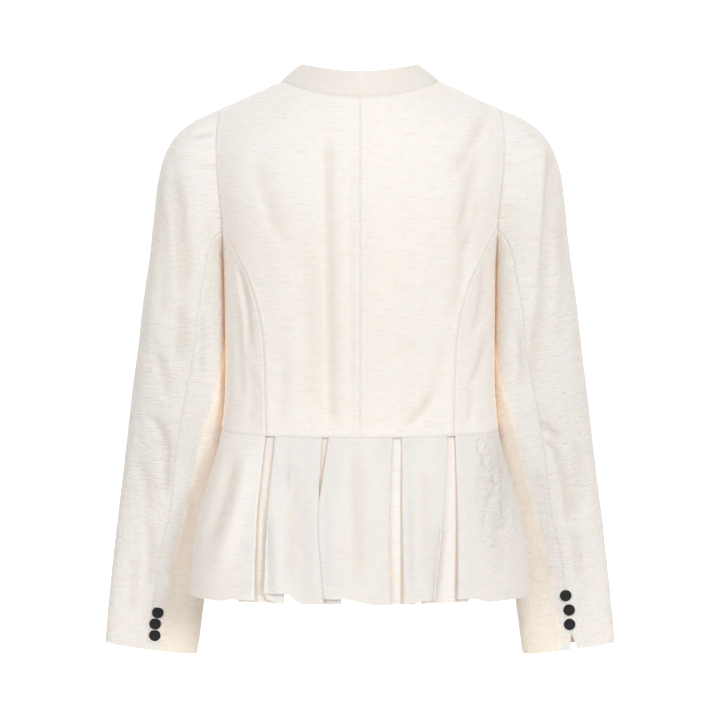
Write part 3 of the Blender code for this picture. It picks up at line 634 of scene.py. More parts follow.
def evenly(points, count):
    """Points spread evenly along a line, its ends kept."""
    steps = np.linalg.norm(np.diff(points, axis=0), axis=1)
    along = np.concatenate([[0.0], np.cumsum(steps)])
    at = np.linspace(0.0, along[-1], count)
    return np.stack([np.interp(at, along, column) for column in points.T], axis=-1)


def top_edge(face, first, neck_count, shoulder_count):
    """Angle and height along the neck seam, through the first distances from the centre,
    then along the shoulder seam."""
    x = NECK_HALF * np.sin(np.linspace(math.asin(first[-1] / NECK_HALF), math.pi / 2, 200))
    z = neck_height(face, x)
    neck = np.stack([body_angle(x, z), z], axis=-1)
    seen = body_point(face, neck[:, 0], z)
    spaced = evenly(np.column_stack([seen, neck]), neck_count + 1)[:, 3:]
    x = np.array(first[:-1])
    z = neck_height(face, x)
    spaced = np.concatenate([np.stack([body_angle(x, z), z], axis=-1), spaced])
    x = np.linspace(NECK_HALF, SHOULDER_POINT, shoulder_count + 1)[1:]
    z = shoulder_height(x)
    shoulder = np.stack([body_angle(x, z), z], axis=-1)
    return np.concatenate([spaced, shoulder])


def armhole(face, share):
    """Angle and height on the armhole, from the shoulder point, 0, to the underarm, 1."""
    table = [(row / (len(ARMHOLE) - 1), *values) for row, values in enumerate(ARMHOLE)]
    z, back, front = read(table, share)
    return np.stack([np.where(face > 0, back, front), z], axis=-1)


def princess_angle(z):
    start = armhole(1, np.array(PRINCESS_START))
    start_x = body_point(1, start[0], start[1])[0]
    table = ((start[1], start_x), *PRINCESS)
    return body_angle(read(table, z)[0], z)


def blended(top, bottom, inner, outer):
    """A grid over a panel, blended from its four edges. Rows run from top to bottom."""
    height = outer[:, 1]
    down = (height - height[0]) / (height[-1] - height[0])
    across = np.linspace(0.0, 1.0, len(top))
    v, u = down[:, None, None], across[None, :, None]
    sides = (1 - u) * inner[:, None] + u * outer[:, None]
    ends = (1 - v) * top[None] + v * bottom[None]
    corners = (1 - v) * ((1 - u) * top[0] + u * top[-1])
    corners = corners + v * ((1 - u) * bottom[0] + u * bottom[-1])
    return sides + ends - corners


def from_centre(start, levels, first):
    """An inner edge at x = start, at heights that follow the outer edge's levels."""
    share = (levels - levels[0]) / (levels[-1] - levels[0])
    z = first + share * (levels[-1] - first)
    return np.stack([body_angle(start * np.ones_like(z), z), z], axis=-1)


def waist_edge(first, last, count):
    """Angle and height along the waist seam, evenly from one angle to another."""
    return np.stack([np.linspace(first, last, count), WAIST * np.ones(count)], axis=-1)


def centre_back_points():
    armhole_part = armhole(1, PRINCESS_START * np.linspace(0.0, 1.0, 46) ** 1.2)
    z = np.linspace(armhole_part[-1, 1], WAIST, 84)[1:]
    princess = np.stack([princess_angle(z), z], axis=-1)
    outer = np.concatenate([armhole_part, princess])
    inner = from_centre(0.0, outer[:, 1], BACK_NECK)
    top = top_edge(1, (0.0,), 36, 26)
    bottom = waist_edge(0.0, outer[-1, 0], len(top))
    grid = blended(top, bottom, inner, outer)
    return body_point(1, grid[..., 0], grid[..., 1])


def side_back_points():
    top = armhole(1, np.linspace(PRINCESS_START, 1.0, 34))
    z = np.linspace(top[0, 1], WAIST, 92)
    inner = np.stack([princess_angle(z), z], axis=-1)
    z = np.linspace(UNDERARM, WAIST, 92)
    outer = np.stack([90.0 * np.ones_like(z), z], axis=-1)
    bottom = waist_edge(inner[-1, 0], 90.0, len(top))
    grid = blended(top, bottom, inner, outer)
    return body_point(1, grid[..., 0], grid[..., 1])


def lap_lift(x, lifted):
    """How far the lapping front stands off the bodice near the centre front."""
    return LAP_LIFT * ease((LAP_RAMP_START + LAP_RAMP - x) / LAP_RAMP) * lifted


def front_points(lifted):
    """A front panel on the +X side, from past the centre front to the side seam."""
    armhole_part = armhole(-1, np.linspace(0.0, 1.0, 64) ** 1.1)
    z = np.linspace(UNDERARM, WAIST, 76)[1:]
    side = np.stack([90.0 * np.ones_like(z), z], axis=-1)
    outer = np.concatenate([armhole_part, side])
    first = tuple(np.linspace(-LAP, LAP_RAMP_START + LAP_RAMP, 22))
    top = top_edge(-1, first, 30, 24)
    inner = from_centre(-LAP, outer[:, 1], top[0, 1])
    near = body_angle(np.array(first), WAIST * np.ones(len(first)))
    rest = np.linspace(near[-1], 90.0, len(top) - len(first) + 1)[1:]
    bottom_angle = np.concatenate([near, rest])
    bottom = np.stack([bottom_angle, WAIST * np.ones(len(top))], axis=-1)
    grid = blended(top, bottom, inner, outer)
    points = body_point(-1, grid[..., 0], grid[..., 1])
    points[..., 1] -= lap_lift(points[..., 0], lifted)
    return points


def collar_points():
    """The collar band, from the centre front round the back to the centre front."""
    fine = np.radians(np.linspace(0.0, 90.0, 200))
    x = NECK_HALF * np.sin(fine)
    z = neck_height(1, x)
    back = body_point(1, body_angle(x, z), z)
    last = math.acos(COLLAR_END / NECK_HALF)
    x = NECK_HALF * np.cos(np.linspace(0.0, last, 200))[1:]
    z = neck_height(-1, x)
    front = body_point(-1, body_angle(x, z), z)
    line = np.concatenate([back, front])
    turn = np.degrees(np.arctan2(line[:, 0], line[:, 1]))
    base = evenly(np.column_stack([line, turn]), 110)
    lean, rise = read(COLLAR, base[:, 3])
    flat = base[:, :2] / np.linalg.norm(base[:, :2], axis=1, keepdims=True)
    way = np.column_stack([-lean[:, None] * flat, rise])
    rows = []
    for share in np.linspace(1.0, 0.0, 17):
        row = base[:, :3] + way * share
        row[:, :2] += flat * (COLLAR_BOW * math.sin(math.pi * share))
        rows.append(row)
    half = np.array(rows)
    return np.concatenate([mirrored(half)[:, :-1], half], axis=1)


def sleeve_ring(angle, z):
    """The sleeve at an angle from its outer side, towards the back, below the cap."""
    outer, inner, middle, depth, ridge, tilt = read(SLEEVE, z)
    turn = np.radians(angle)
    half = (outer - inner) / 2
    behind = np.clip(np.sin(turn), 0.0, 1.0) ** 2
    along = half * (power(np.cos(turn), 2 / SLEEVE_ROUND) + ridge * behind)
    x = (outer + inner) / 2 + along
    y = middle + depth * power(np.sin(turn), 2 / SLEEVE_ROUND)
    return np.stack([x, y, z + along * tilt], axis=-1)


def armhole_point(angle):
    """The armhole seam at the sleeve's own angle: 0 at the shoulder, 90 at the back."""
    angle = np.asarray(angle, float) % 360
    back = armhole(1, np.clip(angle / 180, 0.0, 1.0))
    front = armhole(-1, np.clip((360 - angle) / 180, 0.0, 1.0))
    behind = body_point(1, back[..., 0], back[..., 1])
    before = body_point(-1, front[..., 0], front[..., 1])
    return np.where(angle[..., None] <= 180, behind, before)


def cap_point(angle, share):
    """The sleeve cap from the armhole, 0, to the biceps section, 1."""
    turn = np.radians(angle)
    high = (1 + np.cos(turn)) / 2
    out, along, down = CAP_LEAVE
    leave = np.stack([out * np.ones_like(turn), along * np.sin(turn), down * high], axis=-1)
    leave = leave / np.linalg.norm(leave, axis=-1, keepdims=True)
    start = armhole_point(angle)
    end = sleeve_ring(angle, BICEPS * np.ones_like(turn))
    below = sleeve_ring(angle, (BICEPS - 0.01) * np.ones_like(turn))
    reach = (below - end) / np.linalg.norm(below - end, axis=-1, keepdims=True)
    chord = np.linalg.norm(end - start, axis=-1, keepdims=True)
    pull = (CAP_PULL[0] + (CAP_PULL[1] - CAP_PULL[0]) * high)[..., None] * chord
    settle = (CAP_SETTLE[0] + (CAP_SETTLE[1] - CAP_SETTLE[0]) * high)[..., None] * chord
    return curve(start, end, pull * leave, settle * reach, share[..., None])


def sleeve_angle(x, z):
    """The angle round the back of the sleeve of a place at a distance from the centre."""
    tried = np.linspace(30.0, 150.0, 241)
    found = sleeve_ring(tried, z * np.ones_like(tried))[:, 0]
    return float(np.interp(-x, -found, tried))


def hind_angle(z, vent):
    """The sleeve angle of the hind seam, moved by half the vent's opening at the cuff."""
    opening = vent * ease((CUFF + VENT_HEIGHT - z) / VENT_HEIGHT)
    return sleeve_angle(read(HIND_SEAM, z)[0] + opening, z)


def sleeve_points(part, vent, columns):
    """A grid down the upper or the under sleeve, from the armhole to the cuff."""
    rows = []
    biceps = hind_angle(BICEPS, 0.0)
    moved = vent / 2 if part == "upper" else -vent / 2
    for share in np.linspace(0.0, 1.0, 40)[:-1]:
        hind = HIND_SEAM_TOP + (biceps - HIND_SEAM_TOP) * share
        angle = sleeve_columns(part, hind, columns)
        rows.append(cap_point(angle, share * np.ones_like(angle)))
    for z in np.linspace(BICEPS, CUFF, 150):
        angle = sleeve_columns(part, hind_angle(z, moved), columns)
        rows.append(sleeve_ring(angle, z * np.ones_like(angle)))
    return np.array(rows)


def sleeve_columns(part, hind, count):
    if part == "upper":
        return np.linspace(FORE_SEAM - 360, hind, count)
    return np.linspace(hind, FORE_SEAM, count)


def peplum_point(face, x, z, inward, rise):
    """The peplum at a signed distance from the centre, moved in and up from its own form."""
    half, back, front = read(PEPLUM, z)
    depth = np.where(face > 0, back, front)
    across = np.clip(np.abs(x) / half, 0.0, 1.0)
    y = depth * (1 - across**ROUND) ** (1 / ROUND)
    normal = np.stack(
        [np.sign(x) * across ** (ROUND - 1) / half, face * (y / depth) ** (ROUND - 1) / depth],
        axis=-1,
    )
    normal = normal / np.linalg.norm(normal, axis=-1, keepdims=True)
    place = np.stack([x, face * y], axis=-1) - normal * np.asarray(inward)[..., None]
    return np.concatenate([place, (z + rise)[..., None]], axis=-1)


def pleat_stations(outer, inner, layer, rises, under):
    """One inverted pleat, from its outer fold edge to its inner one: x, inward, rise."""
    turn = PLEAT_TURN
    far_out = outer + under
    far_in = inner - under
    middle = (outer + inner) / 2
    return (
        (outer + under * PLEAT_CLEAR, 0.0, rises[0]),
        (outer + turn, 0.0, rises[0]),
        (outer, 0.5 * layer, rises[0]),
        (outer + turn, layer, rises[0] / 2),
        (far_out - turn, layer, 0.0),
        (far_out, 1.5 * layer, 0.0),
        (far_out - turn, 2 * layer, 0.0),
        (middle, 2 * layer, 0.0),
        (far_in + turn, 2 * layer, 0.0),
        (far_in, 1.5 * layer, 0.0),
        (far_in + turn, layer, 0.0),
        (inner - turn, layer, rises[1] / 2),
        (inner, 0.5 * layer, rises[1]),
        (inner - turn, 0.0, rises[1]),
        (inner - under * PLEAT_CLEAR, 0.0, rises[1]),
    )


def side_stations(half, outer_x, count):
    """Stations from a side seam to the first pleat, closer together where the side turns."""
    start = math.asin(min(1.0, (outer_x / half) ** (ROUND / 2)))
    turns = np.linspace(math.pi / 2, start, count + 1)[:-1]
    return [(half * math.sin(t) ** (2 / ROUND), 0.0, 0.0) for t in turns]


def rounded(stations, at):
    """Stations read at finer places along them, on a curve that never overshoots."""
    steps = np.diff(stations, axis=0)
    before, after = steps[:-1], steps[1:]
    same = before * after > 0
    slopes = np.where(same, 2 * before * after / np.where(same, before + after, 1.0), 0.0)
    slopes = np.concatenate([steps[:1], slopes, steps[-1:]])
    row = np.clip(at.astype(int), 0, len(steps) - 1)
    share = (at - row)[:, None]
    return curve(stations[row], stations[row + 1], slopes[row], slopes[row + 1], share)


def peplum_points(face, pleats, end, lifted):
    """A grid down the peplum, from its +X side seam to x = end, or to the other side seam."""
    coarse = []
    shares = np.linspace(0.0, 1.0, 62)
    for share in shares:
        z = WAIST + share * (HEM - WAIST)
        half = float(read(PEPLUM, z)[0])
        layer = PLEAT_LAYER[0] + (PLEAT_LAYER[1] - PLEAT_LAYER[0]) * share
        folds = []
        for table in pleats:
            outer, inner = (pleat_edge(table[k : k + 3], share) for k in (0, 3))
            folds.extend(pleat_stations(outer, inner, layer, table[6:8], table[8]))
        stations = side_stations(half, folds[0][0], 7) + folds
        if end is None:
            other = side_stations(half, -folds[-1][0], 7)
            stations.extend((-x, inward, rise) for x, inward, rise in reversed(other))
        else:
            stations.extend((x, 0.0, 0.0) for x in np.linspace(folds[-1][0], end, 8)[1:])
        coarse.append(stations)
    coarse = np.array(coarse)
    lengths = np.linalg.norm(np.diff(coarse[:, :, :2], axis=1), axis=-1).mean(axis=0)
    counts = np.maximum(3, np.ceil(lengths / 0.0032).astype(int))
    at = [k + np.arange(count) / count for k, count in enumerate(counts)]
    at = np.concatenate([*at, [len(counts)]])
    rows = []
    for share, stations in zip(shares, coarse):
        z = WAIST + share * (HEM - WAIST)
        half = float(read(PEPLUM, z)[0])
        x, inward, rise = rounded(stations, at).T
        x = np.clip(x, -half, half)
        inward = inward - lap_lift(x, lifted) if end is not None else inward
        centred = (1 - np.clip(np.abs(x) / half, 0.0, 1.0) ** ROUND) ** (1 / ROUND)
        gain = rise + BACK_HEM_RISE * centred * (face > 0)
        rows.append(peplum_point(face, x, z * np.ones_like(x), inward, gain * share**2))
    return np.array(rows)


def pleat_edge(places, share):
    """A fold edge's distance from the centre, on a smooth line through its three places."""
    waist, middle, hem = places
    table = ((0.0, waist), (PLEAT_MIDDLE, middle), (1.0, hem))
    return read(table, share)[0]


def mirrored(points):
    """The other side's piece, its rows turned round so that its faces still point out."""
    return points[:, ::-1] * np.array([-1.0, 1.0, 1.0])


def noise(u, v, size_u, size_v, seed):
    """Smooth heights from -1 to 1 over the cloth, in patches of the given sizes."""
    lattice = np.random.default_rng(seed).uniform(-1.0, 1.0, LATTICE)
    a, b = u / size_u, v / size_v
    i, j = np.floor(a).astype(int), np.floor(b).astype(int)
    s, t = ease(a - i), ease(b - j)
    i0, i1 = i % LATTICE[0], (i + 1) % LATTICE[0]
    j0, j1 = j % LATTICE[1], (j + 1) % LATTICE[1]
    near = lattice[i0, j0] * (1 - s) + lattice[i1, j0] * s
    far = lattice[i0, j1] * (1 - s) + lattice[i1, j1] * s
    return near * (1 - t) + far * t


def crinkled(u, v, seed):
    """Fine crinkles in two slanting directions, the sharper ones as thin ridges."""
    height = np.zeros_like(u)
    for turn, wide, long, weight in CRINKLES:
        a = u * math.cos(turn) - v * math.sin(turn)
        b = u * math.sin(turn) + v * math.cos(turn)
        soft = noise(a, b, wide, long, seed)
        thin = 1 - np.abs(noise(a, b, wide * 1.7, long * 1.4, seed + 1))
        height += weight * (0.55 * soft + 0.45 * (2 * thin**3 - 0.5))
        seed += 2
    return height


def outward(points, flip):
    """Unit normals over a grid, on the side that its faces show."""
    down, across = np.gradient(points, axis=(0, 1))
    normal = np.cross(across, down) if flip else np.cross(down, across)
    return normal / np.maximum(np.linalg.norm(normal, axis=-1, keepdims=True), 1e-9)


def measured(points):
    """Lengths across and down a grid, and distances from its four edges."""
    across = np.linalg.norm(np.diff(points, axis=1), axis=-1)
    across = np.concatenate([np.zeros((len(points), 1)), np.cumsum(across, axis=1)], axis=1)
    down = np.linalg.norm(np.diff(points, axis=0), axis=-1)
    down = np.concatenate([np.zeros((1, points.shape[1])), np.cumsum(down, axis=0)], axis=0)
    edges = {
        "top": down,
        "bottom": down[-1:] - down,
        "first": across,
        "last": across[:, -1:] - across,
    }
    return across, down, edges


def cut_of(points):
    """Width, length and area of the flat piece that a panel is cut from."""
    across, down, _ = measured(points)
    one = points[1:, :-1] - points[:-1, :-1]
    two = points[:-1, 1:] - points[:-1, :-1]
    area = float(np.linalg.norm(np.cross(one, two), axis=-1).sum())
    width, length = float(across[:, -1].max()), float(down[-1].max())
    return (width, max(length, area / width)), area


def creased(points, normal, creases):
    """Heights of the creases of a panel, each faded out at its ends."""
    height = np.zeros(points.shape[:2])
    for face, start_x, start_z, end_x, end_z, bend, half_width, depth, lean in creases:
        run = np.array([end_x - start_x, end_z - start_z])
        place = points[..., (0, 2)] - (start_x, start_z)
        share = place @ run / (run @ run)
        held = np.clip(share, 0.0, 1.0)
        side = (place[..., 0] * run[1] - place[..., 1] * run[0]) / np.linalg.norm(run)
        side = side - 4 * bend * held * (1 - held)
        beyond = (share - held) * np.linalg.norm(run)
        width = half_width * (1 + lean * np.sign(side))
        facing = ease(2 * face * normal[..., 1])
        faded = ease(0.25 + 3 * np.minimum(held, 1 - held))
        height += depth * bell(side, width) * bell(beyond, half_width * 1.6) * facing * faded
    return height


def long_folds(points, normal, folds):
    """Heights of the long folds of a panel, each faded out at its ends."""
    height = np.zeros(points.shape[:2])
    for line, inner_width, outer_width, depth in folds:
        low, high = line[-1][0], line[0][0]
        z = points[..., 2]
        side = np.abs(points[..., 0]) - read(line, z)[0]
        width = np.where(side < 0, inner_width, outer_width)
        faded = ease((high - z) / 0.030 + 0.3) * ease((z - low) / 0.030 + 0.3)
        facing = ease(2 * normal[..., 1])
        height += depth * bell(side, width) * facing * faded
    return height


def dressed(name, points, flip, cloth, seams, hems, crinkle, seed):
    """A panel's points with its seams, hem, creases and crinkles pressed in. With them come
    the distance to the hem and to the nearest seam, and the shade of the folds."""
    normal = outward(points, flip)
    across, down, edges = measured(points)
    folds = creased(points, normal, CREASES.get(name, ()))
    folds = folds + long_folds(points, normal, LONG_FOLDS.get(name, ()))
    shade = ease(-folds / FOLD_SHADE_DEPTH)
    height = folds * cloth.crease
    height += crinkle * crinkled(across, down, seed)
    height += SAG[0] * noise(across, down, SAG[1], SAG[2], seed + 20)
    hem = np.ones(points.shape[:2])
    for edge in hems:
        hem = np.minimum(hem, edges[edge])
        turned = ease((cloth.hem_depth - edges[edge]) / 0.002 + 0.5)
        dip, wide = STITCH_DIP
        height += HEM_LIFT * turned - dip * bell(edges[edge] - cloth.hem_depth, wide)
    calm = np.ones(points.shape[:2])
    for edge in ("top", "bottom", "first", "last"):
        calm *= ease(edges[edge] / SEAM_CALM) if edge not in hems else 1.0
    height *= calm
    seam = np.ones(points.shape[:2])
    for edge in seams:
        away = edges[edge]
        seam = np.minimum(seam, away)
        along = across if edge in ("top", "bottom") else down
        shifted = 2.4 * noise(along, away, 0.03, 1.0, seed + 9)
        ripple = np.sin(2 * math.pi * along / PUCKER_LENGTH + shifted)
        uneven = 0.6 + 0.4 * noise(along, away, 0.05, 1.0, seed + 11)
        beside = bell(away - PUCKER_BAND[0], PUCKER_BAND[1]) * ease(away / 0.003)
        height += cloth.pucker * ripple * uneven * beside
        height += cloth.seam_ridge * bell(away - ALLOWANCE_BAND[0], ALLOWANCE_BAND[1])
        height -= cloth.seam_sink * bell(away, cloth.seam_width)
    return points + normal * height[..., None], hem, seam, shade


def painted_light_and_shade_at(name, points):
    """Painted light and shade by place, on the same scale as the parts' painted light levels. It
    grows warmer down from the shoulders, on the inside of the sleeves and in the narrow gaps
    beside the body, as painted warm light and painted glow. The peplum has grey painted shade on
    its outside, with painted light towards its +X side and a painted glow along its pleat edges
    on the turned-under layers. The collar has grey painted shade."""
    x, z = np.abs(points[..., 0]), points[..., 2]
    lower = ease((-0.02 - z) / 0.16)
    if name.startswith("under"):
        # painted warm light beyond the fold edge, a painted glow along it and in the gap beside
        # the body, and painted light below the waist
        away = read(FOLD_EDGE, z)[0] - x
        inner = read(SLEEVE, np.minimum(z, BICEPS))[1]
        above = ease((z - WAIST - 0.005) / 0.03)
        glow = 0.50 * bell(away - 0.0012, 0.0018) + 0.65 * bell(x - inner, 0.0034) * above
        painted_light_below_waist = 0.28 * ease(away / 0.014) * (1 - above)
        inside = (1.0 - UNDER_SLEEVE_PAINTED_LIGHT) * ease(away / 0.004 + 0.5)
        return UNDER_SLEEVE_PAINTED_LIGHT + inside + glow * lower + painted_light_below_waist
    if name.startswith("upper"):
        # painted warm light, growing down from the shoulders
        return UPPER_SLEEVE_PAINTED_LIGHT + 0.14 * lower
    if "peplum" in name:
        # painted shade on the outside, painted light towards the +X side, and a painted glow
        # along the pleat edges
        under = tucked(points)
        lit = 0.50 * ease((points[..., 0] - 0.06) / 0.08)
        folded = 0.38 + 0.78 * beside_pleats(name, points)
        return PEPLUM_PAINTED_LIGHT + lit * (1 - under) + folded * under
    if "back" in name or "front" in name:
        # painted warm light in the middle, and a painted glow at the sides beside the sleeves
        middle = 0.30 * (0.6 + 0.4 * bell(x, 0.09))
        edge = bell(x - read(BODY, z)[0], 0.0022)
        return BODY_PAINTED_LIGHT + (middle + edge) * lower
    return COLLAR_PAINTED_LIGHT


def tucked(points):
    """1 on the peplum's turned-under layers and 0 on its outside."""
    x, y = np.abs(points[..., 0]), np.abs(points[..., 1])
    half, back, front = read(PEPLUM, points[..., 2])
    depth = np.where(points[..., 1] > 0, back, front)
    form = depth * (1 - np.clip(x / half, 0.0, 1.0) ** ROUND) ** (1 / ROUND)
    return ease((form - y - 0.0008) / 0.0012) * ease((0.14 - x) / 0.01)


def beside_pleats(name, points):
    """1 under the fold edges of the pleats, falling to 0 a few millimetres away."""
    down = np.clip((WAIST - points[..., 2]) / (WAIST - HEM), 0.0, 1.0)
    back = name == "peplum_back"
    x = points[..., 0] if back else np.abs(points[..., 0])
    near = np.zeros(x.shape)
    for table in BACK_PLEATS if back else FRONT_PLEATS:
        for places in (table[0:3], table[3:6]):
            near = np.maximum(near, bell(x - pleat_edge(places, down), 0.0022))
    return near


class Value:
    """A number or colour that varies over a surface. Arithmetic on it adds Math nodes."""

    def __init__(self, finish, socket):
        self.finish = finish
        self.socket = socket

    def made(self, operation, *values):
        inputs = dict(enumerate(values))
        return self.finish.add("ShaderNodeMath", {"operation": operation}, inputs)

    def __add__(self, other):
        return self.made("ADD", self, other)

    __radd__ = __add__

    def __sub__(self, other):
        return self.made("SUBTRACT", self, other)

    def __rsub__(self, other):
        return self.made("SUBTRACT", other, self)

    def __mul__(self, other):
        return self.made("MULTIPLY", self, other)

    __rmul__ = __mul__

    def absolute(self):
        return self.made("ABSOLUTE", self)

    def fraction(self):
        return self.made("FRACT", self)


class Finish:
    """A material and the nodes that work out its look."""

    def __init__(self, name):
        self.material = bpy.data.materials.new(name)
        self.material.use_nodes = True
        self.tree = self.material.node_tree
        self.shader = self.tree.nodes["Principled BSDF"]

    def add(self, kind, settings=None, inputs=None, output=0):
        """A node of one kind, its settings first and then its sockets, by name or number."""
        node = self.tree.nodes.new(kind)
        for key, value in (settings or {}).items():
            if key == "stops":
                for element, (place, grey) in zip(node.color_ramp.elements, value):
                    element.position = place
                    element.color = (grey, grey, grey, 1.0)
            else:
                setattr(node, key, value)
        for key, value in (inputs or {}).items():
            if isinstance(value, Value):
                self.tree.links.new(value.socket, node.inputs[key])
            else:
                node.inputs[key].default_value = value
        return Value(self, node.outputs[output])

    def hold(self, **sockets):
        """Constants on the shader, by the names of its sockets with _ for a space."""
        for key, value in sockets.items():
            self.shader.inputs[key.replace("_", " ")].default_value = value

    def feed(self, socket, value):
        self.tree.links.new(value.socket, self.shader.inputs[socket])

    def noise(self, place, scale, detail=2.0, roughness=0.5):
        """Noise from 0 to 1. Its scale is in patches per metre across and down."""
        moved = self.add("ShaderNodeMapping", {}, {"Vector": place, "Scale": scale})
        inputs = {"Vector": moved, "Scale": 1.0, "Detail": detail, "Roughness": roughness}
        return self.add("ShaderNodeTexNoise", {}, inputs)

    def crumple(self, place, turn, scale):
        """Sharp crinkles along one slanting direction, from 0 to 1."""
        inputs = {"Vector": place, "Rotation": (0.0, 0.0, turn)}
        turned = self.add("ShaderNodeMapping", {}, inputs)
        swing = self.noise(turned, scale, 3.0, 0.55) * 2.0 - 1.0
        return 1.0 - swing.absolute()

    def ramp(self, value, low, high):
        """The value's stretch from low to high, as 0 to 1."""
        settings = {"stops": ((low, 0.0), (high, 1.0))}
        return self.add("ShaderNodeValToRGB", settings, {"Fac": value})

    def mixed(self, share, first, second):
        """A colour between two. The Mix node's sockets for colours are 6 and 7, and 2."""
        inputs = {0: share, 6: first, 7: second}
        settings = {"data_type": "RGBA", "clamp_factor": True}
        return self.add("ShaderNodeMix", settings, inputs, 2)


def slub_cloth(cloth):
    """Ivory slub weave: long thick threads across a fine plain weave, and a hem stitch. Its
    colour also carries painted light and shade: grey painted shade, painted warm light and glow,
    and painted shade in folds and seams.
    """
    finish = Finish("ivory_slub_cloth")
    place = finish.add("ShaderNodeUVMap", {"uv_map": "cloth"})
    across = finish.add("ShaderNodeSeparateXYZ", {}, {0: place})
    hem, painted_light_and_shade, crushed, seam, shade = (
        finish.add("ShaderNodeAttribute", {"attribute_name": key}, output=2)
        for key in ("hem", "painted_light_and_shade", "crinkle", "seam", "shade")
    )
    seam = seam * CENTIMETRES
    # painted shade along each seam, within a millimetre of it
    painted_seam_shade = 1.0 - finish.ramp(seam, 0.035, 0.085)
    seam_edge = finish.ramp(seam, 0.10, 0.22) * (1.0 - finish.ramp(seam, 0.42, 0.62))
    long_slubs, short_slubs, pale_slubs, upright = (
        finish.ramp(finish.noise(place, scale, detail, roughness), low, high)
        for scale, detail, roughness, low, high in SLUBS.values()
    )
    patches = finish.noise(place, (24.0, 46.0, 1.0), 3.0, 0.6)
    threads = finish.noise(place, (1500.0, 2100.0, 1.0), 2.0, 0.6)
    creases = finish.crumple(place, 0.16, (55.0, 250.0, 1.0))
    creases = creases + finish.crumple(place, -0.42, (130.0, 45.0, 1.0)) * 0.9
    offset = (hem - cloth.hem_depth).absolute() * CENTIMETRES
    stitch_line = 1.0 - finish.ramp(offset, 0.030, 0.070)
    stitches = (across * (1 / STITCH_LENGTH)).fraction()
    stitches = stitch_line * (1.0 - finish.ramp(stitches, 0.62, 0.72))
    tint = long_slubs * 0.36 + short_slubs * 0.48 + upright * 0.08 + patches * 0.10
    # Painted light and shade: from grey painted shade through the cloth's own colour to painted
    # warm light and a painted glow
    ground = finish.mixed(painted_light_and_shade * 2.0, tuple(cloth.painted_shade_grey), tuple(cloth.colour))
    ground = finish.mixed(painted_light_and_shade * 2.0 - 1.0, ground, tuple(cloth.warm_colour))
    ground = finish.mixed(painted_light_and_shade - 1.0, ground, tuple(cloth.glow_colour))
    colour = finish.mixed(tint, ground, tuple(cloth.slub_colour))
    colour = finish.mixed(stitches * 0.6, colour, STITCH_COLOUR)
    # painted seam shade
    colour = finish.mixed(painted_seam_shade * 0.20, colour, SEAM_SHADE_COLOUR)
    colour = finish.mixed(shade * 0.34, colour, tuple(cloth.shade_colour))
    # Painted glow: light through the cloth in narrow gaps, given off as emission
    glow = finish.mixed(painted_light_and_shade - 1.0, (0.0, 0.0, 0.0, 1.0), tuple(cloth.through_colour))
    finish.feed("Emission Color", glow)
    finish.feed("Base Color", colour)
    finish.feed("Roughness", 0.82 + threads * 0.10)
    height = long_slubs * 0.10 + short_slubs * 0.10 + pale_slubs * 0.08 + upright * 0.03
    height = height + threads * 0.05 + creases * crushed * 1.35 - stitches * 0.25
    height = height + seam_edge * 0.30
    inputs = {"Strength": 1.0, "Distance": 0.001, "Height": height}
    finish.feed("Normal", finish.add("ShaderNodeBump", {}, inputs))
    finish.hold(Sheen_Weight=0.10, Sheen_Roughness=0.45, Specular_IOR_Level=0.18)
    finish.hold(Subsurface_Weight=0.40, Subsurface_Radius=(1.0, 0.62, 0.40))
    finish.hold(Subsurface_Scale=0.0040, Emission_Strength=1.0)
    return finish.material


def button_cloth(buttons):
    """Black ribbed cover of a button, a little dusty on its crown."""
    finish = Finish("black_button_cover")
    place = finish.add("ShaderNodeTexCoord", output=3)
    threads = finish.noise(place, (2600.0, 2600.0, 5200.0), 2.0, 0.6)
    lint = finish.ramp(finish.noise(place, (900.0, 900.0, 900.0), 3.0, 0.7), 0.55, 0.80)
    colour = finish.mixed(lint * 0.35, tuple(buttons.colour), LINT_COLOUR)
    finish.feed("Base Color", colour)
    finish.feed("Roughness", 0.62 + threads * 0.25)
    inputs = {"Strength": 0.7, "Distance": 0.0003, "Height": threads}
    finish.feed("Normal", finish.add("ShaderNodeBump", {}, inputs))
    finish.hold(Sheen_Weight=0.15, Sheen_Roughness=0.5, Specular_IOR_Level=0.25)
    return finish.material


def shared(name, make, settings):
    """A material made once and used again."""
    return bpy.data.materials.get(name) or make(settings)


